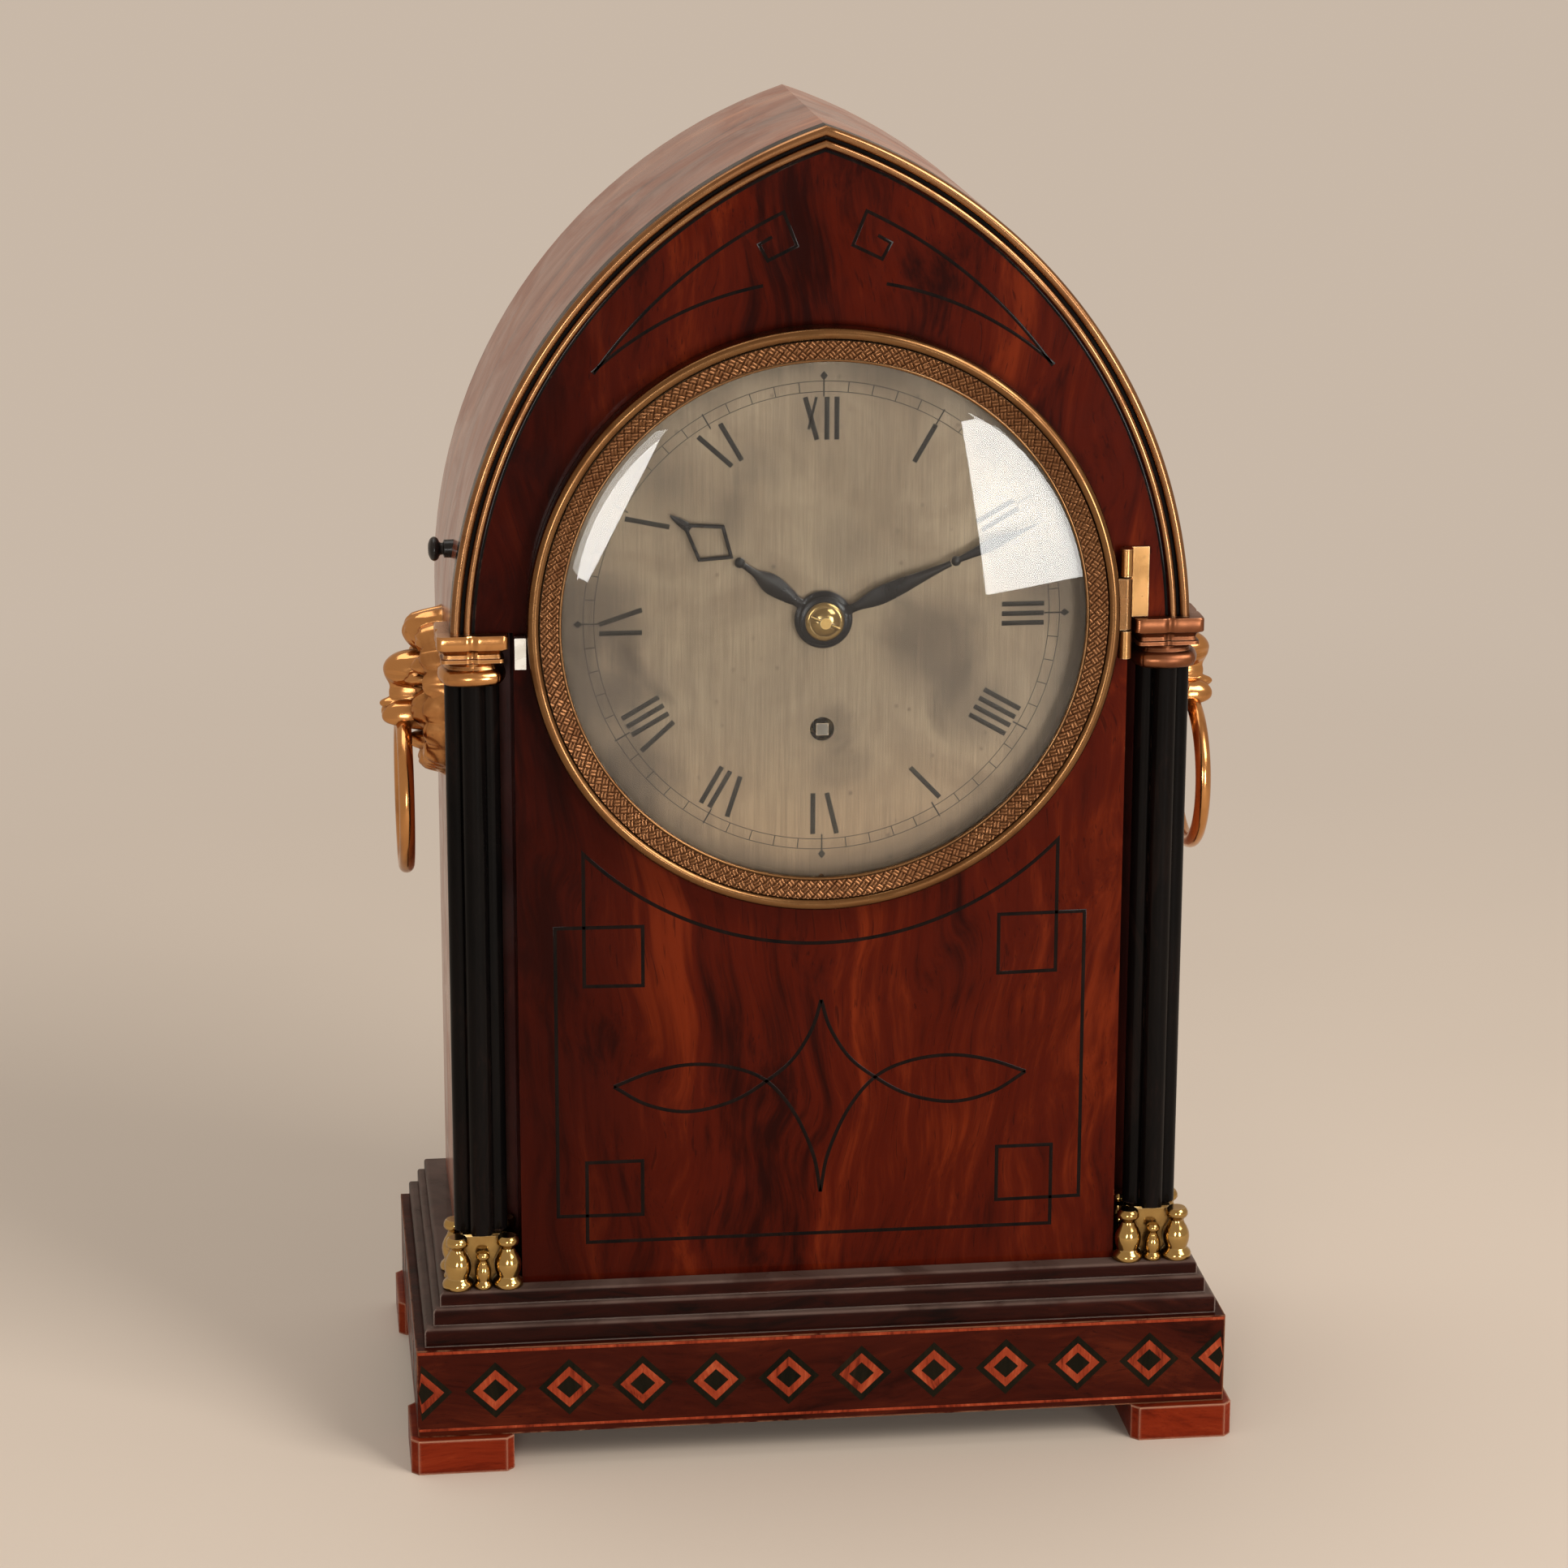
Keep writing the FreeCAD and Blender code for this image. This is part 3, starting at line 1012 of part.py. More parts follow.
# Diamond hands
def hand(word, bore, leaf_share, opened):
    """A leaf, a small bead, a diamond that may be open, and a point, turned clockwise from twelve."""
    name, depth, angle, boss = word + "_hand", word + "_hand_y", word + "_angle", word + "_boss_radius"
    length = size[word + "_reach"]
    low = size[depth] - size["hand_wall"]
    wall = Vector(0, size["hand_wall"], 0)

    def flat(points):
        corners = [Vector(x, low, z) for x, z in points]
        return Part.Face(Part.makePolygon(corners + corners[:1])).extrude(wall)

    def arc_leaf(start, end, half):
        ends = Vector(0, low, start), Vector(0, low, end)
        middle = (start + end) / 2
        edges = [Part.Arc(ends[0], Vector(sign * half, low, middle), ends[1]).toShape() for sign in (1, -1)]
        return Part.Face(Part.Wire([edges[0], edges[1].reversed()])).extrude(wall)

    around = Vector(0, 1, 0)
    disc = Part.makeCylinder(size[boss], size["hand_wall"], Vector(0, low, 0), around)
    leaf = arc_leaf(1.0, leaf_share * length, 2.2)
    neck, bead_at = (leaf_share - 0.06) * length, (leaf_share + 0.01) * length
    start, end = bead_at + 0.02 * length, bead_at + 0.34 * length
    stalk = flat([(-0.5, neck), (0.5, neck), (0.5, start + 1.5), (-0.5, start + 1.5)])
    bead = Part.makeCylinder(1.4, size["hand_wall"], Vector(0, low, bead_at), around)
    wide, middle = size[word + "_diamond"], start + 0.44 * (end - start)
    diamond = flat([(0, start), (wide, middle), (0, end), (-wide, middle)])
    tip = flat([(-0.6, end - 1.5), (0, length), (0.6, end - 1.5)])
    shape = disc.fuse([leaf, stalk, bead, diamond, tip])
    if opened:
        shape = shape.cut(flat([(0, start + 1.9), (wide - 1.4, middle), (0, end - 2.2),
                                (1.4 - wide, middle)]))
    shape = shape.cut(Part.makeCylinder(bore, size["hand_wall"] + 2, Vector(0, low - 1, 0),
                                        around)).removeSplitter()
    shape.rotate(Vector(), around, size[angle])
    shape.translate(Vector(0, 0, dial_z))
    return feature(name, shape)


piece("hour_hand", hand("hour", size["hour_pipe"], 0.57, True))
piece("minute_hand", hand("minute", size["cannon_radius"], 0.60, False))
collet_back = "(minute_hand_y - hand_wall)"
collet = [rod("collet_disc", "collet_radius", ("0", "dial_z"), (collet_back + " - 0.7", collet_back)),
          rod("collet_crown", "collet_radius * 0.65", ("0", "dial_z"), (collet_back + " - 1.4", collet_back))]
collet_solid = cut("collet_solid", fuse("collet_whole", *collet),
                   rod("collet_bore", "arbor_radius + fit_room", ("0", "dial_z"),
                       (collet_back + " - 3", collet_back + " + 1")))
piece("hand_collet", collet_solid)

# Anchor, crutch and pendulum
ANCHOR_DEPTH = ("front_plate_back + 21.4", "front_plate_back + 23.8")
bow_inner = "escape_radius + pallet_room"
bow = cut("anchor_ring", rod("anchor_outer", "escape_radius + 3.1", ("0", "escape_z"), ANCHOR_DEPTH),
          rod("anchor_inner", bow_inner, ("0", "escape_z"), ("front_plate_back + 20",
                                                             "front_plate_back + 25")))
bow_region = box("anchor_region", ("-0.74 * escape_radius", "0.74 * escape_radius"), ANCHOR_DEPTH,
                 ("escape_z + 0.6 * escape_radius", "pallet_z"))
CRUTCH = ("back_plate_back + 1.2", "back_plate_back + 2.4")
fork_z = "pallet_z - 42"
anchor_parts = [
    common("anchor_bow", bow, bow_region),
    box("anchor_web", ("-1.8", "1.8"), ANCHOR_DEPTH, ("escape_z + escape_radius + 0.8", "pallet_z")),
    rod("anchor_boss", "3", ("0", "pallet_z"), ANCHOR_DEPTH),
    rod("anchor_rod", "pivot_radius + 0.25", ("0", "pallet_z"),
        ("front_plate_back + fit_room", COCK[0] + " - 0.3")),
    rod("anchor_pivots", "pivot_radius", ("0", "pallet_z"), ("front_plate_face", COCK[1])),
    rod("crutch_boss", "2.6", ("0", "pallet_z"), CRUTCH),
    box("crutch_bar", ("-1", "1"), CRUTCH, (fork_z, "pallet_z")),
    box("crutch_foot", ("-3.4", "3.4"), CRUTCH, (fork_z + " - 2", fork_z)),
    box("crutch_tine_left", ("-3.4", "-rod_radius - bezel_room"), (CRUTCH[0], "pendulum_y + 2"),
        (fork_z + " - 2", fork_z)),
    box("crutch_tine_right", ("rod_radius + bezel_room", "3.4"), (CRUTCH[0], "pendulum_y + 2"),
        (fork_z + " - 2", fork_z))]
piece("anchor", fuse("anchor", *anchor_parts))

spring_foot = "pallet_z - 12"
piece("pendulum_rod", fuse("pendulum_rod",
                           box("suspension_spring", ("-0.2", "0.2"), ("pendulum_y - 2", "pendulum_y + 2"),
                               (spring_foot + " - 1", "pallet_z")),
                           rod("rod_cap", "rod_radius + 1", ("0", "pendulum_y"),
                               (spring_foot + " - 4", spring_foot), "z"),
                           rod("rod_bar", "rod_radius", ("0", "pendulum_y"),
                               ("bob_z - bob_radius - 7", spring_foot), "z")))
bob_solid = common("bob_solid",
                   rod("bob_disc", "bob_radius", ("0", "bob_z"),
                       ("pendulum_y - bob_wall / 2", "pendulum_y + bob_wall / 2")),
                   egg("bob_swell", ("0", "pendulum_y", "bob_z"),
                       ("1.15 * bob_radius", "0.62 * bob_wall", "1.15 * bob_radius")))
bob_bore = rod("bob_bore", "rod_radius + fit_room", ("0", "pendulum_y"),
               ("bob_z - bob_radius - 2", "bob_z + bob_radius + 2"), "z")
piece("pendulum_bob", cut("pendulum_bob", bob_solid, bob_bore))
nut = rod("nut_solid", "3.6", ("0", "pendulum_y"), ("bob_z - bob_radius - 4", "bob_z - bob_radius - 0.2"),
          "z")
nut_bore = rod("nut_bore", "rod_radius", ("0", "pendulum_y"), ("bob_z - bob_radius - 8",
                                                               "bob_z - bob_radius + 2"), "z")
piece("rating_nut", cut("rating_nut", nut, nut_bore))

# Check and export
doc.recompute()
for thing in doc.Objects:
    if "Invalid" in thing.State or "Error" in thing.State:
        raise RuntimeError("%s is %s" % (thing.Name, thing.State))
os.makedirs("parts", exist_ok=True)
for name, thing in pieces.items():
    shape = thing.Shape
    if shape.isNull() or not shape.isValid() or not shape.Solids:
        raise RuntimeError(name + " has no valid solid")
for name, thing in pieces.items():
    thing.Shape.exportStep("parts/%s.step" % name)
print(len(pieces), "sub-parts")
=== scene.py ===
import math
import bmesh
import bpy
import numpy as np
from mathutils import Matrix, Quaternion, Vector


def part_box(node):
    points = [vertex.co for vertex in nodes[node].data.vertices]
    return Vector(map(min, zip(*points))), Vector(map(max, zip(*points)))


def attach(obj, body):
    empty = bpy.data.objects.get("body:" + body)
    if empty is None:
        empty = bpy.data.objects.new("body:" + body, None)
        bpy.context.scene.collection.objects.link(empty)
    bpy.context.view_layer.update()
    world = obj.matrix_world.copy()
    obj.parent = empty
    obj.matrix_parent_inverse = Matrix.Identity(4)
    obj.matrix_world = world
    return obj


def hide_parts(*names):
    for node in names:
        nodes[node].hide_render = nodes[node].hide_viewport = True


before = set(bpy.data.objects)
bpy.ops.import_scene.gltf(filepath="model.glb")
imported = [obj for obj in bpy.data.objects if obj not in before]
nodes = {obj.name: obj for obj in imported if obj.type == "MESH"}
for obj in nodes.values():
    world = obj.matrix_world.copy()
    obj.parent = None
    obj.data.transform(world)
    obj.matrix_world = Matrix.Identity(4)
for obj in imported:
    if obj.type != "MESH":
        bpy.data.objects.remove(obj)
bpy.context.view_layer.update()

# Lancet clock: turned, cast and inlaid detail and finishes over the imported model.
# Shapes are worked out in millimetres and become metres when a piece is made.
mm = 0.001

caseBody = dict(panelFront=-50.9, springHeight=242.6, archRadius=155.7, archSide=49.7, floor=52.4,
                capitalTop=248.7, shaftTop=233.7, shaftFoot=68.0, columnX=99.7, columnY=-44.6)
dialPlace = dict(height=250.4, face=-49.6)


# Node box in millimetres: lowest corner, highest corner.
def boxOf(name):
    low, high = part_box(name)
    return np.array(low) / mm, np.array(high) / mm


# A grid of points becomes quads; a wrapped side joins its last line of points to its first.
def gridPart(points, wrapRows=False, wrapColumns=False, finish=0):
    rows, columns = points.shape[:2]
    index = np.arange(rows * columns).reshape(rows, columns)
    if wrapRows:
        index = np.concatenate([index, index[:1]])
    if wrapColumns:
        index = np.concatenate([index, index[:, :1]], axis=1)
    quads = np.stack([index[:-1, :-1], index[1:, :-1], index[1:, 1:], index[:-1, 1:]], axis=-1)
    return points.reshape(-1, 3), quads.reshape(-1, 4), finish


# Profile of (radius, height) carried round a line: r cos t across, r sin t across, h along the axis.
def turnedPart(profile, centre, axis="z", steps=64, finish=0):
    profile = np.array(profile, float)
    turn = np.linspace(0, 2 * np.pi, steps, endpoint=False)
    radius, height = profile[:, :1], profile[:, 1:2]
    ring = [radius * np.cos(turn), radius * np.sin(turn), height + 0 * turn]
    order = {"x": (2, 0, 1), "y": (0, 2, 1), "z": (0, 1, 2)}[axis]
    points = np.stack([ring[i] for i in order], axis=-1) + np.array(centre, float)
    return gridPart(points, wrapColumns=True, finish=finish)


# Smooth curve through corners: the Catmull-Rom cubic of each four neighbours.
def smoothLine(corners, count=8):
    p = np.array(corners, float)
    p = np.vstack([2 * p[0] - p[1], p, 2 * p[-1] - p[-2]])
    t = np.linspace(0, 1, count, endpoint=False)[:, None, None]
    a, b, c, d = p[:-3], p[1:-2], p[2:-1], p[3:]
    curve = 0.5 * (2 * b + (c - a) * t + (2 * a - 5 * b + 4 * c - d) * t ** 2 + (3 * b - a - 3 * c + d) * t ** 3)
    return np.vstack([curve.transpose(1, 0, 2).reshape(-1, p.shape[1]), p[-2:-1]])


# Section of (sideways, forward) carried along a line on an upright plane. Each point moves sideways
# along its mitre, (n1 + n2) / (1 + n1.n2), and ends close on the middle of the section.
def moulding(line, section, depth, closed=False, finish=0):
    line = np.array(line, float)
    ahead = np.roll(line, -1, axis=0) - line
    if not closed:
        ahead[-1] = ahead[-2]
    ahead /= np.linalg.norm(ahead, axis=1, keepdims=True)
    behind = np.roll(ahead, 1, axis=0)
    if not closed:
        behind[0] = ahead[0]
    first = np.stack([-behind[:, 1], behind[:, 0]], axis=1)
    second = np.stack([-ahead[:, 1], ahead[:, 0]], axis=1)
    mitre = (first + second) / (1 + np.sum(first * second, axis=1, keepdims=True))
    section = np.array(section, float)
    flat = line[:, None] + mitre[:, None] * section[None, :, :1]
    points = np.stack([flat[:, :, 0], depth - section[None, :, 1] + 0 * flat[:, :, 0], flat[:, :, 1]], axis=-1)
    if not closed:
        middle = points.mean(axis=1, keepdims=True) + 0 * points
        points = np.concatenate([middle[:1], points, middle[-1:]])
    return gridPart(points, wrapRows=closed, wrapColumns=True, finish=finish)


# Flat strip section with eased front corners, and a round one.
def stripSection(width, proud, sunk=0.3):
    half = width / 2
    return [(-half, -sunk), (-half, proud * 0.4), (-half + 0.08, proud), (half - 0.08, proud), (half, proud * 0.4),
            (half, -sunk)]


def roundSection(radius, count=14):
    turn = np.linspace(0, 2 * np.pi, count, endpoint=False)
    return np.stack([radius * np.cos(turn), radius * np.sin(turn)], axis=1)


# Convex outline with a flat front: centre, rim, back rim and back centre as four rings of points.
def platePart(outline, depth, proud, sunk=0.3, finish=0):
    outline = np.array(outline, float)
    middle = outline.mean(axis=0) + 0 * outline
    rings = [(middle, proud), (outline, proud), (outline, -sunk), (middle, -sunk)]
    points = np.stack([np.stack([flat[:, 0], depth - rise + 0 * flat[:, 0], flat[:, 1]], axis=-1)
                       for flat, rise in rings])
    return gridPart(points, wrapColumns=True, finish=finish)


# Block between two corners with every edge eased: an eight-sided section at four heights.
def blockPart(low, high, ease=0.2, finish=0):
    low, high = np.array(low, float), np.array(high, float)
    x0, y0, x1, y1 = low[0], low[1], high[0], high[1]
    plan = np.array([(x0 + ease, y0), (x1 - ease, y0), (x1, y0 + ease), (x1, y1 - ease), (x1 - ease, y1),
                     (x0 + ease, y1), (x0, y1 - ease), (x0, y0 + ease)])
    middle = plan.mean(axis=0)
    inner = middle + (plan - middle) * (1 - ease / np.abs(plan - middle).max(axis=0))
    levels = [(middle + 0 * plan, low[2]), (inner, low[2]), (plan, low[2] + ease), (plan, high[2] - ease),
              (inner, high[2]), (middle + 0 * plan, high[2])]
    points = np.stack([np.column_stack([flat, np.full(len(flat), level)]) for flat, level in levels])
    return gridPart(points, wrapColumns=True, finish=finish)


# Points mirrored left to right, for the other side's copy.
def mirrored(part):
    return part[0] * np.array([-1.0, 1.0, 1.0]), part[1], part[2]


# Parts joined into one mesh: doubles merged, faces turned outwards, edges over the crease angle kept sharp.
def makePiece(name, parts, body, finishes, replaces=(), crease=35, relief=None):
    points = np.vstack([part[0] for part in parts])
    starts = np.cumsum([0] + [len(part[0]) for part in parts[:-1]])
    faces = np.vstack([part[1] + start for part, start in zip(parts, starts)])
    marks = np.repeat([part[2] for part in parts], [len(part[1]) for part in parts]).astype(np.int32)
    mesh = bpy.data.meshes.new(name)
    mesh.from_pydata((points * mm).tolist(), [], faces.tolist())
    mesh.polygons.foreach_set("material_index", marks)
    if relief is not None:
        mesh.attributes.new("relief", "FLOAT", "POINT").data.foreach_set("value", relief.astype(np.float32))
    work = bmesh.new()
    work.from_mesh(mesh)
    bmesh.ops.remove_doubles(work, verts=work.verts, dist=2e-6)
    bmesh.ops.recalc_face_normals(work, faces=work.faces)
    work.to_mesh(mesh)
    work.free()
    mesh.shade_smooth()
    mesh.set_sharp_from_angle(angle=math.radians(crease))
    thing = bpy.data.objects.new(name, mesh)
    bpy.context.scene.collection.objects.link(thing)
    for finish in finishes:
        mesh.materials.append(finish)
    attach(thing, body)
    if replaces:
        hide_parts(*replaces)
    return thing


print("stage: materials")


# Shader node with its settings; an input that is another node's output is linked, anything else is set.
def shaderNode(tree, kind, inputs=(), **settings):
    item = tree.nodes.new("ShaderNode" + kind)
    for label, value in settings.items():
        setattr(item, label, value)
    for label, value in dict(inputs).items():
        if isinstance(value, bpy.types.NodeSocket):
            tree.links.new(value, item.inputs[label])
        else:
            item.inputs[label].default_value = value
    return item


def calc(tree, operation, *values):
    return shaderNode(tree, "Math", enumerate(values), operation=operation).outputs[0]


def move(tree, operation, *values):
    return shaderNode(tree, "VectorMath", enumerate(values), operation=operation).outputs[0]


def blendColour(tree, factor, first, second, mode="MIX"):
    return shaderNode(tree, "Mix", {0: factor, 6: first, 7: second}, data_type="RGBA", blend_type=mode).outputs[2]


# Value carried smoothly from one range to another, and held at its ends.
def rangeOf(tree, value, low, high, start=0.0, end=1.0):
    return shaderNode(tree, "MapRange", {"Value": value, "From Min": low, "From Max": high, "To Min": start,
                                         "To Max": end}, interpolation_type="SMOOTHSTEP").outputs[0]


def noise(tree, vector, scale, detail=3.0, rough=0.55, warp=0.0):
    return shaderNode(tree, "TexNoise", {"Vector": vector, "Scale": scale, "Detail": detail, "Roughness": rough,
                                         "Distortion": warp})


def rgb(colour):
    return tuple(colour) + (1.0,)


def newGroup(name, inputs, outputs):
    group = bpy.data.node_groups.new(name, "ShaderNodeTree")
    for label, kind, value in inputs:
        socket = group.interface.new_socket(label, in_out="INPUT", socket_type="NodeSocket" + kind)
        if value is not None:
            socket.default_value = value
    for label, kind in outputs:
        group.interface.new_socket(label, in_out="OUTPUT", socket_type="NodeSocket" + kind)
    return group, group.nodes.new("NodeGroupInput").outputs, group.nodes.new("NodeGroupOutput").inputs


def useGroup(tree, group, inputs):
    item = tree.nodes.new("ShaderNodeGroup")
    item.node_tree = group
    for label, value in inputs.items():
        if isinstance(value, bpy.types.NodeSocket):
            tree.links.new(value, item.inputs[label])
        else:
            item.inputs[label].default_value = value
    return item.outputs


# Wood grain along Z: broad noise bands stretched along the grain, finer streaks, and short dark pores.
woodGrain, given, result = newGroup("woodGrain", [
    ("Vector", "Vector", None), ("Across", "Float", 55.0), ("Along", "Float", 8.0), ("Swirl", "Float", 0.01),
    ("Contrast", "Float", 0.5), ("Dark", "Color", None), ("Mid", "Color", None), ("Bright", "Color", None)],
    [("Colour", "Color"), ("Height", "Float")])
drift = noise(woodGrain, given["Vector"], 13.0, 2.0).outputs["Color"]
drift = move(woodGrain, "SCALE", move(woodGrain, "SUBTRACT", drift, (0.5, 0.5, 0.5)))
woodGrain.links.new(given["Swirl"], drift.node.inputs["Scale"])
bent = move(woodGrain, "ADD", given["Vector"], drift)
stretch = shaderNode(woodGrain, "CombineXYZ", {0: given["Across"], 1: given["Across"], 2: given["Along"]}).outputs[0]
along = move(woodGrain, "MULTIPLY", bent, stretch)
bands = noise(woodGrain, along, 1.0, 4.0, 0.6, 0.5).outputs["Fac"]
streaks = noise(woodGrain, move(woodGrain, "MULTIPLY", along, (9.0, 9.0, 2.4)), 1.0, 4.0, 0.65).outputs["Fac"]
pores = noise(woodGrain, move(woodGrain, "MULTIPLY", along, (36.0, 36.0, 9.0)), 1.0, 2.0).outputs["Fac"]
tone = calc(woodGrain, "ADD", calc(woodGrain, "MULTIPLY", bands, 0.68), calc(woodGrain, "MULTIPLY", streaks, 0.32))
spreadBy = calc(woodGrain, "ADD", 1.0, calc(woodGrain, "MULTIPLY", given["Contrast"], 3.0))
tone = calc(woodGrain, "ADD", calc(woodGrain, "MULTIPLY", calc(woodGrain, "SUBTRACT", tone, 0.5), spreadBy), 0.5)
shade = blendColour(woodGrain, rangeOf(woodGrain, tone, 0.12, 0.52), given["Dark"], given["Mid"])
shade = blendColour(woodGrain, rangeOf(woodGrain, tone, 0.5, 0.95), shade, given["Bright"])
poreMask = rangeOf(woodGrain, pores, 0.60, 0.72)
shade = blendColour(woodGrain, calc(woodGrain, "MULTIPLY", poreMask, 0.55), shade, given["Dark"])
woodGrain.links.new(shade, result["Colour"])
woodGrain.links.new(calc(woodGrain, "SUBTRACT", streaks, calc(woodGrain, "MULTIPLY", poreMask, 0.6)), result["Height"])

# Worn edges: where the rounded-off normal leaves the real one, broken up by noise.
edgeWear, given, result = newGroup("edgeWear", [("Vector", "Vector", None), ("Radius", "Float", 0.0008),
                                                ("Amount", "Float", 0.5)], [("Mask", "Float")])
rounded = shaderNode(edgeWear, "Bevel", {"Radius": given["Radius"]}, samples=4).outputs[0]
facing = shaderNode(edgeWear, "NewGeometry").outputs["Normal"]
turnAway = shaderNode(edgeWear, "VectorMath", {0: rounded, 1: facing}, operation="DOT_PRODUCT").outputs[1]
worn = rangeOf(edgeWear, calc(edgeWear, "SUBTRACT", 1.0, turnAway), 0.02, 0.16)
patchy = noise(edgeWear, given["Vector"], 160.0, 4.0, 0.7).outputs["Fac"]
broad = noise(edgeWear, given["Vector"], 22.0, 2.0).outputs["Fac"]
patchy = calc(edgeWear, "ADD", calc(edgeWear, "MULTIPLY", patchy, 0.6), calc(edgeWear, "MULTIPLY", broad, 0.4))
limit = calc(edgeWear, "SUBTRACT", 0.75, calc(edgeWear, "MULTIPLY", given["Amount"], 0.5))
patchy = rangeOf(edgeWear, calc(edgeWear, "SUBTRACT", patchy, limit), -0.04, 0.06)
edgeWear.links.new(calc(edgeWear, "MULTIPLY", worn, patchy), result["Mask"])

# Hollows: ambient occlusion turned round and broken up by specks, so that painted shade, with dirt and toning, lies
# where the light doesn't reach.
hollowShadeAndDirt, given, result = newGroup("hollowShadeAndDirt", [("Vector", "Vector", None), ("Distance", "Float", 0.004)],
                                     [("Mask", "Float")])
openness = shaderNode(hollowShadeAndDirt, "AmbientOcclusion", {"Distance": given["Distance"]}, samples=6).outputs["AO"]
closeness = rangeOf(hollowShadeAndDirt, openness, 0.85, 0.35)
speck = rangeOf(hollowShadeAndDirt, noise(hollowShadeAndDirt, given["Vector"], 260.0, 3.0).outputs["Fac"], 0.3, 0.6, 0.55, 1.0)
hollowShadeAndDirt.links.new(calc(hollowShadeAndDirt, "MULTIPLY", closeness, speck), result["Mask"])

# Handling marks: soft smears that dull the gloss, fine dents, and small dark spots.
handMarks, given, result = newGroup("handMarks", [("Vector", "Vector", None), ("Size", "Float", 1.0)],
                                    [("Smear", "Float"), ("Dent", "Float"), ("Spot", "Float")])
sized = shaderNode(handMarks, "VectorMath", {0: given["Vector"], "Scale": given["Size"]}, operation="SCALE").outputs[0]
smear = noise(handMarks, sized, 34.0, 5.0, 0.6, 0.8).outputs["Fac"]
dent = noise(handMarks, sized, 420.0, 3.0).outputs["Fac"]
cells = shaderNode(handMarks, "TexVoronoi", {"Vector": sized, "Scale": 130.0}).outputs["Distance"]
spot = calc(handMarks, "MULTIPLY", rangeOf(handMarks, cells, 0.16, 0.05),
            rangeOf(handMarks, noise(handMarks, sized, 19.0, 2.0).outputs["Fac"], 0.48, 0.6))
handMarks.links.new(smear, result["Smear"])
handMarks.links.new(dent, result["Dent"])
handMarks.links.new(spot, result["Spot"])


def newFinish(name):
    finish = bpy.data.materials.new(name)
    finish.use_nodes = True
    tree = finish.node_tree
    tree.nodes.clear()
    surface = tree.nodes.new("ShaderNodeBsdfPrincipled")
    output = tree.nodes.new("ShaderNodeOutputMaterial")
    tree.links.new(surface.outputs[0], output.inputs["Surface"])
    place = tree.nodes.new("ShaderNodeTexCoord").outputs["Object"]
    return finish, tree, surface, place


def feed(tree, surface, **inputs):
    for label, value in inputs.items():
        socket = surface.inputs[label.replace("_", " ")]
        if isinstance(value, bpy.types.NodeSocket):
            tree.links.new(value, socket)
        else:
            socket.default_value = value


def bumpOf(tree, height, strength, distance):
    return shaderNode(tree, "Bump", {"Height": height, "Strength": strength, "Distance": distance}).outputs[0]


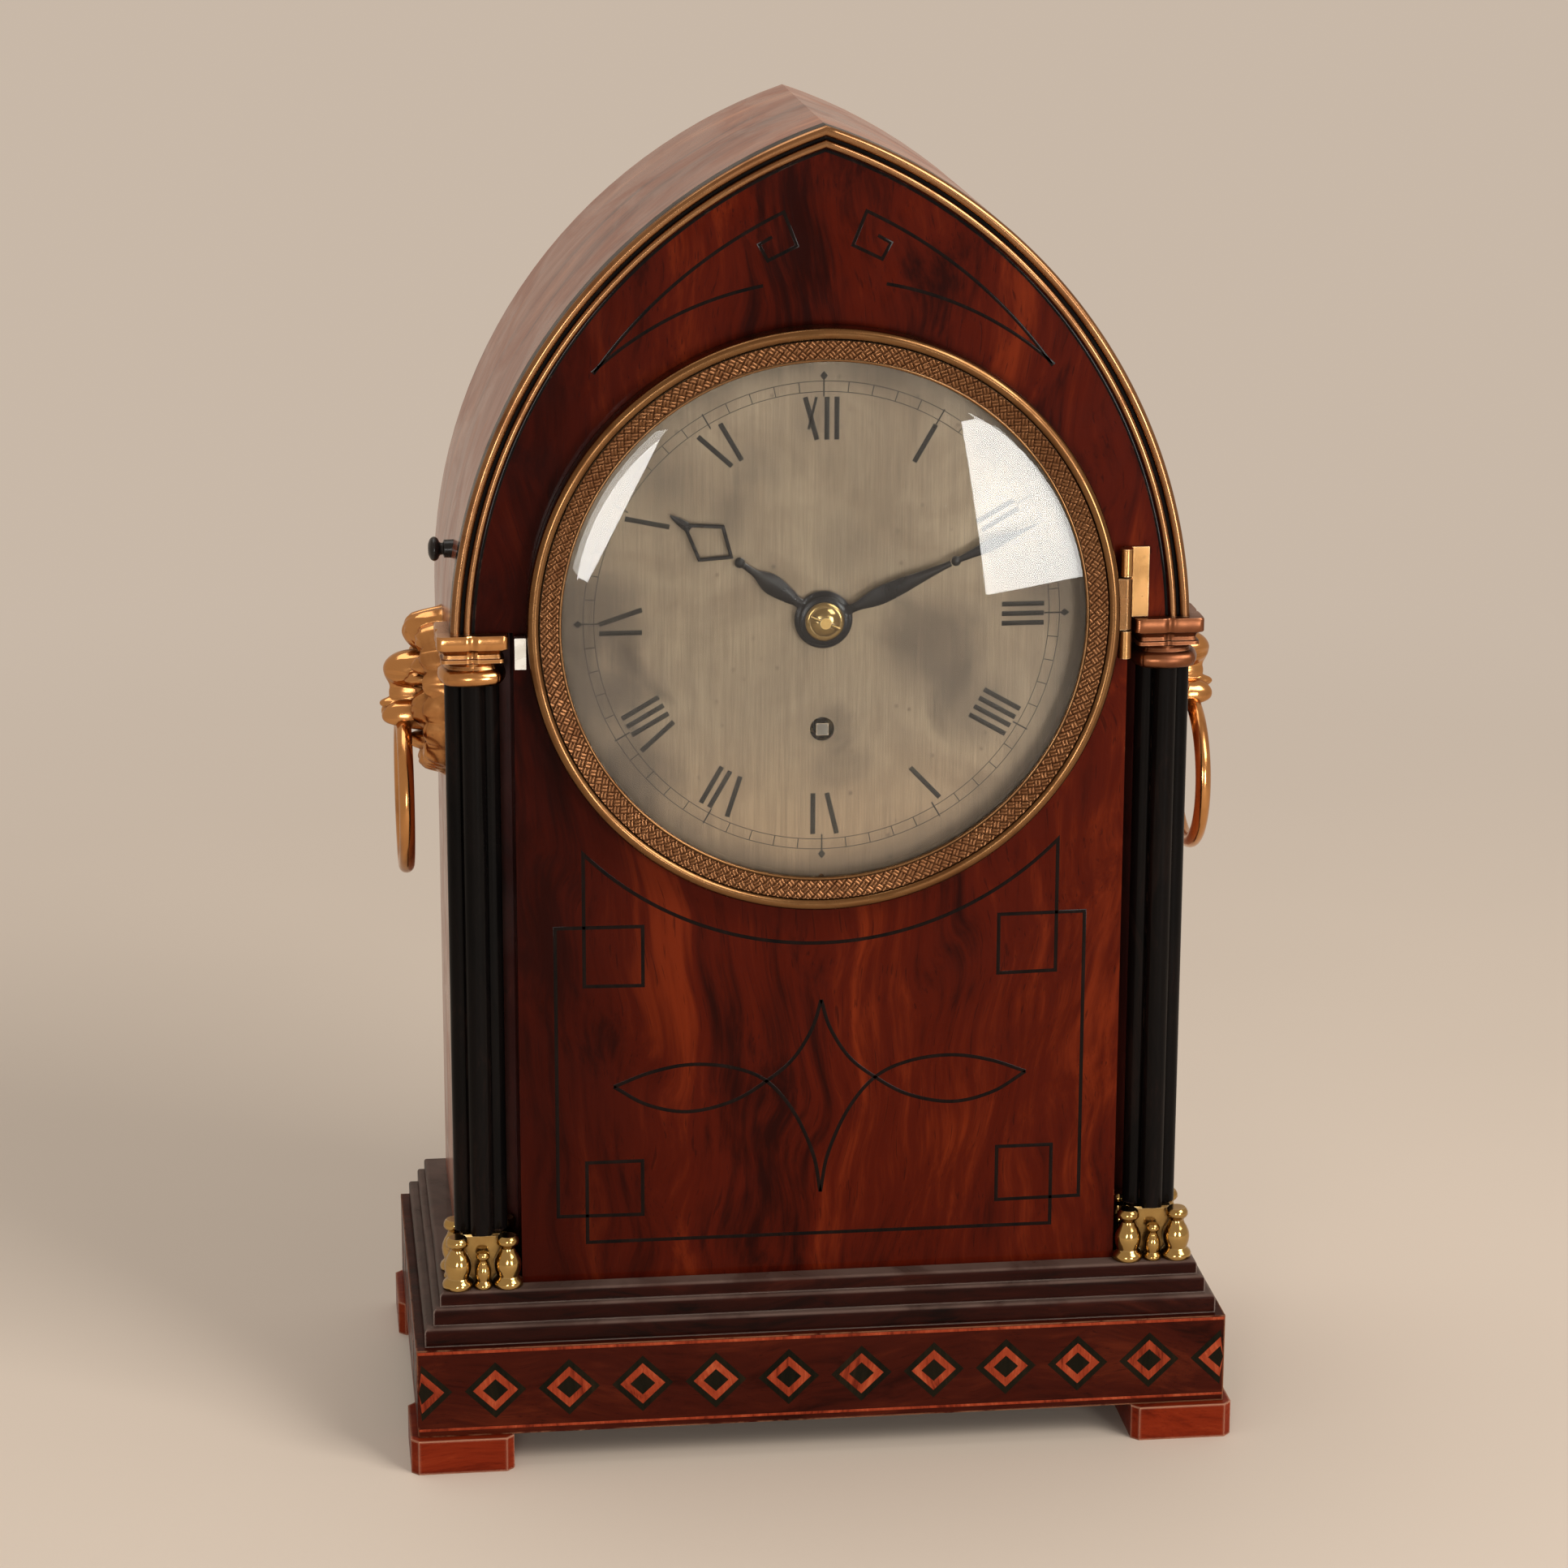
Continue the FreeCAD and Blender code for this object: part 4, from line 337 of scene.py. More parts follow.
# Wood: grain turned to run along the piece, painted shade towards one side, painted shade with dirt in the hollows,
# edges worn to a paler wood, a painted sheen with scuffs on upward faces, and smears in the polish.
def woodFinish(name, look):
    finish, tree, surface, place = newFinish(name)
    grainPlace = place
    if look.get("curve"):
        x, y, z = shaderNode(tree, "SeparateXYZ", {0: place}).outputs[:3]
        reach = calc(tree, "ABSOLUTE", calc(tree, "SUBTRACT", x, look["curve"][1]))
        lifted = calc(tree, "SUBTRACT", z, calc(tree, "MULTIPLY", reach, look["curve"][0]))
        grainPlace = shaderNode(tree, "CombineXYZ", {0: x, 1: y, 2: lifted}).outputs[0]
    grainPlace = shaderNode(tree, "Mapping", {"Vector": grainPlace, "Rotation": look.get("turn", (0, 0, 0)),
                                              "Scale": look.get("stretch", (1, 1, 1))}).outputs[0]
    grain = useGroup(tree, woodGrain, {"Vector": grainPlace, "Across": look["across"], "Along": look["along"],
                                       "Swirl": look["swirl"], "Contrast": look["contrast"],
                                       "Dark": rgb(look["dark"]), "Mid": rgb(look["mid"]),
                                       "Bright": rgb(look["bright"])})
    marks = useGroup(tree, handMarks, {"Vector": place, "Size": 1.0})
    colour = grain["Colour"]
    # Painted shade: the wood darkens towards the left edge, away from the light.
    if look.get("paintedShadeX"):
        x = shaderNode(tree, "SeparateXYZ", {0: place}).outputs[0]
        paintedShadeLeft = rangeOf(tree, x, look["paintedShadeX"][0], look["paintedShadeX"][1], look["paintedShadeX"][2], 0.0)
        colour = blendColour(tree, paintedShadeLeft, colour, rgb(look["dark"]))
    worn = useGroup(tree, edgeWear, {"Vector": place, "Radius": look["wearRadius"], "Amount": look["wear"]})["Mask"]
    colour = blendColour(tree, worn, colour, rgb(look["worn"]))
    # Painted shade and dirt: the wood darkens in hollows and where parts meet, such as around the bezel.
    shadeAndDirt = useGroup(tree, hollowShadeAndDirt, {"Vector": place, "Distance": 0.003})["Mask"]
    colour = blendColour(tree, calc(tree, "MULTIPLY", shadeAndDirt, 0.5), colour, rgb(np.array(look["dark"]) * 0.4))
    # Painted sheen with scuffs: upward faces turn paler, as if catching the light, where the smear noise lets them.
    if look.get("treadSheen"):
        upward = shaderNode(tree, "SeparateXYZ", {0: shaderNode(tree, "NewGeometry").outputs["Normal"]}).outputs[2]
        sheenAndScuffs = calc(tree, "MULTIPLY", rangeOf(tree, upward, 0.35, 0.9),
                       rangeOf(tree, marks["Smear"], 0.35, 0.62, 0.45, 0.95))
        colour = blendColour(tree, sheenAndScuffs, colour, rgb(look["treadSheen"]))
    rough = rangeOf(tree, marks["Smear"], 0.35, 0.7, look["rough"] * 0.75, look["rough"] * 1.35)
    rough = calc(tree, "ADD", rough, calc(tree, "MULTIPLY", worn, 0.25))
    height = calc(tree, "ADD", calc(tree, "MULTIPLY", grain["Height"], 0.6), calc(tree, "MULTIPLY", marks["Dent"], 0.4))
    feed(tree, surface, Base_Color=colour, Roughness=rough, Coat_Weight=look["coat"],
         Coat_Roughness=look.get("coatRough", 0.12), Normal=bumpOf(tree, height, look["bump"], 0.00025))
    surface.inputs["Specular IOR Level"].default_value = look["specular"]
    surface.inputs["Coat IOR"].default_value = look["coatIor"]
    return finish


# Metal: a clean tone, a darker one in the hollows (painted shade and dirt) and smears, painted shade in the low parts
# of a relief, bright rubbed edges, and fine tooling.
def metalFinish(name, look):
    finish, tree, surface, place = newFinish(name)
    marks = useGroup(tree, handMarks, {"Vector": place, "Size": look.get("markSize", 1.6)})
    shadeAndDirt = useGroup(tree, hollowShadeAndDirt, {"Vector": place, "Distance": look["hollow"]})["Mask"]
    tarnish = rangeOf(tree, marks["Smear"], 0.42, 0.72, 0.0, look["tarnish"])
    colour = blendColour(tree, tarnish, rgb(look["clean"]), rgb(look["toned"]))
    # Painted shade and dirt: the hollows take the deep colour.
    colour = blendColour(tree, calc(tree, "MULTIPLY", shadeAndDirt, look["shadeAndDirt"]), colour, rgb(look["deep"]))
    spots = calc(tree, "MULTIPLY", marks["Spot"], look.get("spots", 0.35))
    colour = blendColour(tree, spots, colour, rgb(look["deep"]))
    if look.get("shaft"):
        axis = ((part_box("fusee")[0][0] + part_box("fusee")[1][0]) / 2, 0.0, 0.2179)
        flat = move(tree, "MULTIPLY", move(tree, "SUBTRACT", place, axis), (1.0, 0.0, 1.0))
        reach = shaderNode(tree, "VectorMath", {0: flat}, operation="LENGTH").outputs[1]
        colour = blendColour(tree, rangeOf(tree, reach, look["shaft"][0] + 0.0001, look["shaft"][0]), colour,
                             rgb(look["shaft"][1]))
    # Painted shade: the low parts of a relief, such as the grooves of the woven band, take the deep colour.
    if look.get("relief"):
        raised = shaderNode(tree, "Attribute", attribute_name="relief").outputs["Fac"]
        colour = blendColour(tree, rangeOf(tree, raised, *look["relief"]), rgb(look["deep"]), colour)
    rubbed = useGroup(tree, edgeWear, {"Vector": place, "Radius": 0.0005, "Amount": 0.8})["Mask"]
    colour = blendColour(tree, calc(tree, "MULTIPLY", rubbed, look.get("rub", 0.5)), colour, rgb(look["bright"]))
    rough = calc(tree, "ADD", rangeOf(tree, marks["Smear"], 0.3, 0.75, look["rough"] * 0.7, look["rough"] * 1.4),
                 calc(tree, "MULTIPLY", shadeAndDirt, 0.25))
    height = marks["Dent"]
    if look.get("tooling"):
        lines = noise(tree, move(tree, "MULTIPLY", place, look["tooling"]), 1.0, 2.0).outputs["Fac"]
        height = calc(tree, "ADD", calc(tree, "MULTIPLY", lines, 0.8), calc(tree, "MULTIPLY", height, 0.3))
    feed(tree, surface, Base_Color=colour, Roughness=rough, Normal=bumpOf(tree, height, look["bump"], 0.0001))
    surface.inputs["Metallic"].default_value = look.get("metal", 1.0)
    surface.inputs["Specular IOR Level"].default_value = look.get("specular", 0.5)
    return finish


# Glass that lets light through: shadow rays pass, everything else meets clear glass.
def glassFinish(name, tint, rough):
    finish, tree, surface, place = newFinish(name)
    marks = useGroup(tree, handMarks, {"Vector": place, "Size": 0.6})
    haze = rangeOf(tree, marks["Smear"], 0.35, 0.8, rough, rough + 0.015)
    feed(tree, surface, Base_Color=rgb(tint), Roughness=haze)
    surface.inputs["Transmission Weight"].default_value = 1.0
    surface.inputs["IOR"].default_value = 1.36
    clear = tree.nodes.new("ShaderNodeBsdfTransparent")
    both = tree.nodes.new("ShaderNodeMixShader")
    shadowRay = tree.nodes.new("ShaderNodeLightPath").outputs["Is Shadow Ray"]
    tree.links.new(shadowRay, both.inputs[0])
    tree.links.new(surface.outputs[0], both.inputs[1])
    tree.links.new(clear.outputs[0], both.inputs[2])
    output = next(item for item in tree.nodes if item.type == "OUTPUT_MATERIAL")
    tree.links.new(both.outputs[0], output.inputs["Surface"])
    return finish


upright, level = (0, 0, 0), (0, math.radians(90), 0)
mahogany = dict(dark=(0.014, 0.0013, 0.0006), mid=(0.056, 0.0045, 0.0011), bright=(0.130, 0.0150, 0.0030),
                across=34, along=7, swirl=0.035, contrast=0.55, worn=(0.20, 0.055, 0.022), wear=0.25,
                wearRadius=0.0006, rough=0.36, coat=0.26, coatIor=1.22, coatRough=0.08, bump=0.12, turn=upright,
                specular=0.02)
blackWood = dict(mahogany, dark=(0.0022, 0.0018, 0.0018), mid=(0.0036, 0.0026, 0.0024), bright=(0.009, 0.0045, 0.0036),
                 across=120, along=10, wear=0.4, worn=(0.075, 0.036, 0.024), coat=0.3, coatIor=1.28,
                 coatRough=0.07, bump=0.05)
brass = dict(clean=(0.50, 0.28, 0.11), toned=(0.27, 0.12, 0.042), deep=(0.045, 0.018, 0.007), bright=(0.85, 0.62, 0.38),
             hollow=0.0015, shadeAndDirt=0.9, tarnish=0.75, rough=0.24, bump=0.06)
finishes = {
    # Front panel: painted shade darkens its left side.
    "panel": woodFinish("panelVeneer", dict(mahogany, curve=(0.9, 0.004), paintedShadeX=(-0.085, -0.03, 0.62))),
    "shell": woodFinish("shellVeneer", dict(mahogany, dark=(0.10, 0.016, 0.005), mid=(0.24, 0.056, 0.019),
                                            bright=(0.43, 0.140, 0.056), stretch=(0.35, 1.6, 0.5), contrast=0.5,
                                            coat=0.5, coatIor=1.4, specular=0.25, coatRough=0.16)),
    "back": woodFinish("backMahogany", dict(mahogany, contrast=0.35, coat=0.15, rough=0.5, specular=0.2)),
    "plinth": woodFinish("plinthVeneer", dict(mahogany, dark=(0.014, 0.0022, 0.0012), mid=(0.036, 0.0048, 0.0022),
                                              bright=(0.068, 0.010, 0.0036), turn=level, across=60, along=10,
                                              wear=0.6, worn=(0.26, 0.11, 0.055), wearRadius=0.0009, coat=0.2)),
    "foot": woodFinish("footMahogany", dict(mahogany, dark=(0.085, 0.0070, 0.0020), mid=(0.16, 0.0155, 0.0040),
                                            bright=(0.24, 0.032, 0.0085), turn=level, across=80, along=14,
                                            wear=0.85, worn=(0.46, 0.24, 0.15), wearRadius=0.0012)),
    # Steps: the tread colour is a painted sheen with scuffs on upward faces, and the pale worn colour along the arrises
    # is wear and a painted highlight.
    "step": woodFinish("stepStain", dict(mahogany, dark=(0.0050, 0.0018, 0.0013), mid=(0.017, 0.0032, 0.0019),
                                         bright=(0.036, 0.0065, 0.0034), turn=level, across=70, along=9, wear=0.95,
                                         worn=(0.25, 0.185, 0.155), treadSheen=(0.12, 0.075, 0.060),
                                         wearRadius=0.0008, coat=0.22, coatIor=1.3)),
    "ebony": woodFinish("ebonisedWood", blackWood),
    "stringing": woodFinish("blackStringing", dict(blackWood, mid=(0.0060, 0.0028, 0.0020), across=200, along=40,
                                                   wear=0.1, worn=(0.04, 0.012, 0.008), coat=0.3)),
    "darkLozenge": woodFinish("darkLozenge", dict(blackWood, dark=(0.0040, 0.0036, 0.0018),
                                                  mid=(0.0075, 0.0058, 0.0028), bright=(0.016, 0.0095, 0.0045),
                                                  wear=0.0, coat=0.3, coatIor=1.24)),
    "redStringing": woodFinish("redStringing", dict(mahogany, dark=(0.10, 0.011, 0.004), mid=(0.235, 0.032, 0.011),
                                                    bright=(0.36, 0.070, 0.026), across=200, along=40, wear=0.2,
                                                    worn=(0.36, 0.11, 0.05), coat=0.3)),
    "pine": woodFinish("agedPine", dict(mahogany, dark=(0.20, 0.11, 0.05), mid=(0.36, 0.22, 0.11),
                                        bright=(0.48, 0.32, 0.18), across=90, along=8, turn=level, coat=0.0,
                                        rough=0.65, worn=(0.5, 0.36, 0.22), specular=0.3)),
    "gilt": metalFinish("giltBrass", dict(brass, clean=(0.58, 0.28, 0.10), toned=(0.33, 0.135, 0.045), hollow=0.004,
                                          deep=(0.050, 0.017, 0.007), shadeAndDirt=0.95, rough=0.19, bump=0.12)),
    # A darker, duller copy of the gilt for the right capital: painted shade together with tarnish.
    "shadedDullGilt": metalFinish("shadedDullGilt", dict(brass, clean=(0.24, 0.09, 0.04), toned=(0.13, 0.045, 0.024), hollow=0.004,
                                             deep=(0.03, 0.010, 0.006), bright=(0.50, 0.26, 0.15), rough=0.33,
                                             bump=0.2)),
    "footBrass": metalFinish("polishedBrass", dict(brass, clean=(0.46, 0.30, 0.105), toned=(0.28, 0.15, 0.045),
                                                   bright=(0.90, 0.78, 0.48), hollow=0.003, rough=0.13, bump=0.04)),
    "caseBrass": metalFinish("caseBrass", brass),
    "beadBrass": metalFinish("beadBrass", dict(brass, clean=(0.30, 0.15, 0.066), toned=(0.15, 0.060, 0.024),
                                               rough=0.24)),
    "bezelBrass": metalFinish("bezelBrass", dict(brass, clean=(0.20, 0.100, 0.040), toned=(0.12, 0.050, 0.018),
                                                 rough=0.26, spots=0.0, bump=0.03)),
    # Woven band: painted shade in its grooves through the relief attribute.
    "wovenBrass": metalFinish("wovenBrass", dict(brass, clean=(0.17, 0.078, 0.034), toned=(0.105, 0.042, 0.018),
                                                 spots=0.0, hollow=0.0006, deep=(0.020, 0.0075, 0.0035),
                                                 relief=(0.12, 0.75), rough=0.30, rub=0.0, bump=0.03)),
    "movementBrass": metalFinish("movementBrass", dict(clean=(0.66, 0.46, 0.18), toned=(0.5, 0.31, 0.11),
                                                       deep=(0.12, 0.06, 0.02), bright=(0.85, 0.68, 0.4),
                                                       hollow=0.002, shadeAndDirt=0.7, tarnish=0.5, rough=0.28, bump=0.1,
                                                       tooling=(160, 160, 2600))),
    "collet": metalFinish("colletBrass", dict(clean=(0.25, 0.17, 0.07), toned=(0.14, 0.080, 0.030),
                                              deep=(0.03, 0.015, 0.006), bright=(0.7, 0.55, 0.35), hollow=0.0015,
                                              shadeAndDirt=0.8, tarnish=0.6, rough=0.22, bump=0.15)),
    "steel": metalFinish("greySteel", dict(clean=(0.42, 0.42, 0.42), toned=(0.28, 0.26, 0.24), deep=(0.06, 0.04, 0.03),
                                           bright=(0.7, 0.7, 0.7), hollow=0.002, shadeAndDirt=0.6, tarnish=0.5, rough=0.3,
                                           bump=0.1, tooling=(1800, 160, 160))),
    "catchSteel": metalFinish("brightSteel", dict(clean=(0.78, 0.77, 0.72), toned=(0.6, 0.57, 0.5),
                                                  deep=(0.1, 0.08, 0.06), bright=(0.95, 0.95, 0.92), hollow=0.001,
                                                  shadeAndDirt=0.6, tarnish=0.4, rough=0.28, bump=0.1)),
    "hand": metalFinish("bluedHand", dict(clean=(0.0030, 0.0030, 0.0040), toned=(0.0070, 0.0055, 0.0045),
                                          deep=(0.003, 0.0025, 0.0025), bright=(0.05, 0.048, 0.05), hollow=0.001,
                                          shadeAndDirt=0.5, tarnish=0.8, rough=0.30, bump=0.06, metal=0.3, specular=0.25)),
    "ink": metalFinish("dialWax", dict(clean=(0.006, 0.005, 0.004), toned=(0.022, 0.018, 0.013),
                                       deep=(0.004, 0.004, 0.004), bright=(0.03, 0.028, 0.024),
                                       hollow=0.0005, shadeAndDirt=0.1, tarnish=0.9, rough=0.5, bump=0.1, metal=0.0,
                                       specular=0.1)),
    "knob": metalFinish("blackKnob", dict(clean=(0.010, 0.009, 0.009), toned=(0.02, 0.016, 0.014),
                                          deep=(0.004, 0.004, 0.004), bright=(0.06, 0.05, 0.045), hollow=0.001,
                                          shadeAndDirt=0.4, tarnish=0.6, rough=0.24, bump=0.05, metal=0.0, specular=0.3)),
    "gut": metalFinish("gutLine", dict(clean=(0.42, 0.26, 0.10), toned=(0.30, 0.17, 0.06), deep=(0.1, 0.05, 0.02),
                                       bright=(0.5, 0.35, 0.18), hollow=0.001, shadeAndDirt=0.4, tarnish=0.6, rough=0.5,
                                       bump=0.2, metal=0.0)),
    "domeGlass": glassFinish("domeGlass", (0.97, 0.985, 0.97), 0.0),
    "paneGlass": glassFinish("paneGlass", (0.96, 0.98, 0.97), 0.01),
}


# Silvered dial: upright brushing, warm cloudy patches, dark stains at given places, and the painted shadow of the
# bezel's lip towards the rim.
def dialFinish(look):
    finish, tree, surface, place = newFinish("silveredDial")
    brush = noise(tree, move(tree, "MULTIPLY", place, (2600.0, 1.0, 60.0)), 1.0, 3.0, 0.6).outputs["Fac"]
    broad = noise(tree, move(tree, "MULTIPLY", place, (420.0, 1.0, 14.0)), 1.0, 3.0, 0.6).outputs["Fac"]
    cloud = noise(tree, place, 26.0, 5.0, 0.62, 0.6).outputs["Fac"]
    centred = move(tree, "SUBTRACT", place, (0.0, dialPlace["face"] * mm, dialPlace["height"] * mm))
    x, y, z = shaderNode(tree, "SeparateXYZ", {0: centred}).outputs[:3]
    radius = shaderNode(tree, "VectorMath", {0: centred}, operation="LENGTH").outputs[1]
    colour = blendColour(tree, rangeOf(tree, cloud, 0.35, 0.68), rgb(look["clean"]), rgb(look["cloudy"]))
    colour = blendColour(tree, rangeOf(tree, z, -0.02, -0.075, 0.0, 0.6), colour, rgb(look["warm"]))
    for stainX, stainZ, reach, depth in look["stains"]:
        away = shaderNode(tree, "VectorMath", {0: centred, 1: (stainX * mm, 0.0, stainZ * mm)}, operation="DISTANCE")
        spread = calc(tree, "ADD", away.outputs[1], calc(tree, "MULTIPLY", calc(tree, "SUBTRACT", cloud, 0.5), 0.05))
        stain = rangeOf(tree, spread, reach * mm, reach * mm * 0.2, 0.0, depth)
        colour = blendColour(tree, stain, colour, rgb(look["stain"]))
    # Painted shadow of the bezel's lip: the dial darkens towards its rim.
    rim = calc(tree, "ADD", radius, calc(tree, "MULTIPLY", calc(tree, "SUBTRACT", cloud, 0.5), 0.016))
    colour = blendColour(tree, rangeOf(tree, rim, 0.062, 0.077, 0.0, 0.6), colour, rgb(look["stain"]))
    grain = calc(tree, "ADD", calc(tree, "MULTIPLY", brush, 0.6), calc(tree, "MULTIPLY", broad, 0.4))
    colour = blendColour(tree, 1.0, colour, shaderNode(tree, "CombineColor", {
        i: rangeOf(tree, grain, 0.25, 0.75, 0.74, 1.22) for i in range(3)}).outputs[0], "MULTIPLY")
    marks = useGroup(tree, handMarks, {"Vector": place, "Size": 1.3})
    colour = blendColour(tree, calc(tree, "MULTIPLY", marks["Spot"], 0.55), colour, rgb(look["stain"]))
    rough = rangeOf(tree, cloud, 0.3, 0.7, look["rough"] - 0.06, look["rough"] + 0.1)
    feed(tree, surface, Base_Color=colour, Roughness=rough, Normal=bumpOf(tree, brush, 0.25, 0.00005))
    surface.inputs["Metallic"].default_value = look["metal"]
    return finish


finishes["dial"] = dialFinish(dict(clean=(0.140, 0.104, 0.066), cloudy=(0.092, 0.064, 0.038), warm=(0.19, 0.122, 0.066),
                                   stain=(0.030, 0.019, 0.011), rough=0.42, metal=0.5,
                                   stains=[(32.5, -8, 20, 0.7), (46, -26, 14, 0.5), (62, 8, 18, 0.65),
                                           (-66, 2, 22, 0.75), (-62, -20, 18, 0.7), (-54, -42, 18, 0.7),
                                           (4, -46, 12, 0.35), (-27, 33, 14, 0.45), (-20, 46, 12, 0.3),
                                           (10, 22, 14, 0.25), (-2, 58, 12, 0.4), (-44, 40, 16, 0.5),
                                           (-56, -20, 14, 0.4), (1, -32, 9, 0.5)]))

dressed = {
    "panel": ["front_panel"], "shell": ["shell_left", "shell_right"],
    "back": ["back_frame", "back_door", "corner_posts"], "plinth": ["plinth"],
    "foot": ["foot_front_left", "foot_front_right", "foot_rear_left", "foot_rear_right"],
    "step": ["step_lower", "step_middle", "step_upper"], "ebony": ["arch_mouldings"],
    "pine": ["seat_board", "seat_bearers"], "dial": ["dial"], "catchSteel": ["bezel_catch"],
    "caseBrass": ["bezel_hinge", "back_door_hinges", "back_door_leaves", "back_door_knob", "dial_screws"],
    "paneGlass": ["back_door_glass"], "steel": ["anchor", "pendulum_rod"], "gut": ["gut_line"],
    "movementBrass": ["front_plate", "back_plate", "plate_pillars", "back_cock", "centre_wheel", "great_wheel",
                      "third_wheel", "escape_wheel", "cannon_wheel", "minute_wheel", "hour_wheel", "barrel",
                      "pendulum_bob", "rating_nut"]}
finishes["fusee"] = metalFinish("fuseeMetal", dict(brass, clean=(0.66, 0.46, 0.18), toned=(0.5, 0.31, 0.11),
                                                   tooling=(160, 160, 2600), shaft=(0.0034, (0.19, 0.18, 0.165))))
dressed["fusee"] = ["fusee"]
for finishName, nodeNames in dressed.items():
    for nodeName in nodeNames:
        for holder in nodes[nodeName].material_slots:
            holder.material = finishes[finishName]

print("stage: bezel and glass")
bezelShape = dict(outer=84.5, sight=74.8, lap=76.6, back=-51.2, front=-58.6, seat=-56.0, bandOuter=80.9, bandInner=75.7,
                  cell=2.0, ridges=2, relief=0.34, steps=2300, rows=28)


# Outer half-round, a bed for the woven band, and the inner lip, turned about the dial's axis.
def bezelRing(shape):
    swing = np.linspace(0, np.pi, 13)
    crest = np.column_stack([82.75 + 1.75 * np.cos(swing), -56.85 - 1.75 * np.sin(swing)])
    lip = np.column_stack([75.25 + 0.45 * np.cos(swing), -56.55 - 0.45 * np.sin(swing)])
    profile = [(shape["lap"], shape["back"]), (84.2, shape["back"]), (shape["outer"], shape["back"] - 0.3),
               *crest.tolist(), (80.95, -57.2), (75.72, -56.3), *lip.tolist(), (shape["sight"], shape["seat"]),
               (shape["lap"], shape["seat"]), (shape["lap"], shape["back"])]
    return turnedPart(profile, (0, 0, dialPlace["height"]), "y", 256)


# Basket weave on a sloping band: cells turned by 45 degrees, with ridges that change direction from
# cell to cell, so height = |sin| of one diagonal or the other.
def wovenBand(shape):
    count = shape["steps"]
    turn = np.linspace(0, 2 * np.pi, count, endpoint=False)[None, :]
    radius = np.linspace(shape["bandInner"], shape["bandOuter"], shape["rows"])[:, None]
    middle = (shape["bandInner"] + shape["bandOuter"]) / 2
    around = round(2 * np.pi * middle / (shape["cell"] * math.sqrt(2)))
    s = turn / (2 * np.pi) * around
    r = (radius - middle) / (shape["cell"] * math.sqrt(2))
    a, b = s + r, s - r
    swap = (np.floor(a) + np.floor(b)) % 2
    wave = np.where(swap == 0, np.abs(np.sin(np.pi * shape["ridges"] * a)), np.abs(np.sin(np.pi * shape["ridges"] * b)))
    edge = np.clip(np.minimum(np.minimum(a % 1, 1 - a % 1), np.minimum(b % 1, 1 - b % 1)) * 7, 0, 1)
    rise = shape["relief"] * np.sqrt(wave) * (0.45 + 0.55 * edge)
    slope = -56.75 - 0.9 * (radius - shape["bandInner"]) / (shape["bandOuter"] - shape["bandInner"])
    front = np.stack([radius * np.cos(turn), slope - rise, radius * np.sin(turn)], axis=-1)
    under = np.stack([radius[[-1, 0]] * np.cos(turn), slope[[-1, 0]] + 0.6 + 0 * turn, radius[[-1, 0]] * np.sin(turn)],
                     axis=-1)
    points = np.concatenate([front, under, front[:1]]) + np.array([0, 0, dialPlace["height"]])
    raised = np.sqrt(wave) * (0.35 + 0.65 * edge)
    raised = np.concatenate([raised, np.ones((2, count)), raised[:1]]).ravel()
    return gridPart(points, wrapColumns=True, finish=1), raised


knuckle = turnedPart([(0, 245.75), (1.6, 245.75), (1.9, 246.05), (1.9, 260.75), (1.6, 261.05), (0, 261.05)],
                     (86.7, -53.5, 0), "z", 28)
arm = blockPart((82.4, -55.4, 245.75), (86.7, -53.1, 261.05))
band, raised = wovenBand(bezelShape)
plain = [bezelRing(bezelShape), knuckle, arm]
raised = np.concatenate([np.ones(sum(len(part[0]) for part in plain)), raised])
makePiece("bezelTurned", plain + [band], "bezel", [finishes["bezelBrass"], finishes["wovenBrass"]],
          ["bezel"], relief=raised)

glassShape = dict(edge=74.4, rise=5.0, wall=1.2, rim=76.4)


# Closed shallow dome: outer ball down to the rim, a flat flange, and the inner ball back to the middle.
def domeGlass(shape):
    ball = (shape["edge"] ** 2 + shape["rise"] ** 2) / (2 * shape["rise"])
    out = np.linspace(0, shape["edge"], 26)
    outer = np.column_stack([out, -61.0 + ball - np.sqrt(ball ** 2 - out ** 2)])
    back = np.linspace(shape["edge"] - 0.9, 0, 26)
    inner = np.column_stack([back, -61.0 + ball - np.sqrt((ball - shape["wall"]) ** 2 - back ** 2)])
    rim = [(shape["rim"], -56.0), (shape["rim"], -54.8), (shape["edge"] - 0.9, -54.75)]
    return turnedPart(np.vstack([outer, rim, inner]), (0, 0, dialPlace["height"]), "y", 192)


makePiece("domedGlass", [domeGlass(glassShape)], "bezel", [finishes["domeGlass"]], ["bezel_glass"])

print("stage: arch")


# Line up one side of the lancet, over the apex and down the other: two arcs whose centres are set aside.
def archLine(radius, foot, count=70):
    low = math.asin((foot - caseBody["springHeight"]) / radius)
    top = math.acos(caseBody["archSide"] / radius)
    swing = np.linspace(low, top, count)
    right = np.column_stack([radius * np.cos(swing) - caseBody["archSide"],
                             caseBody["springHeight"] + radius * np.sin(swing)])
    return np.vstack([right * [-1, 1], right[-2::-1]])


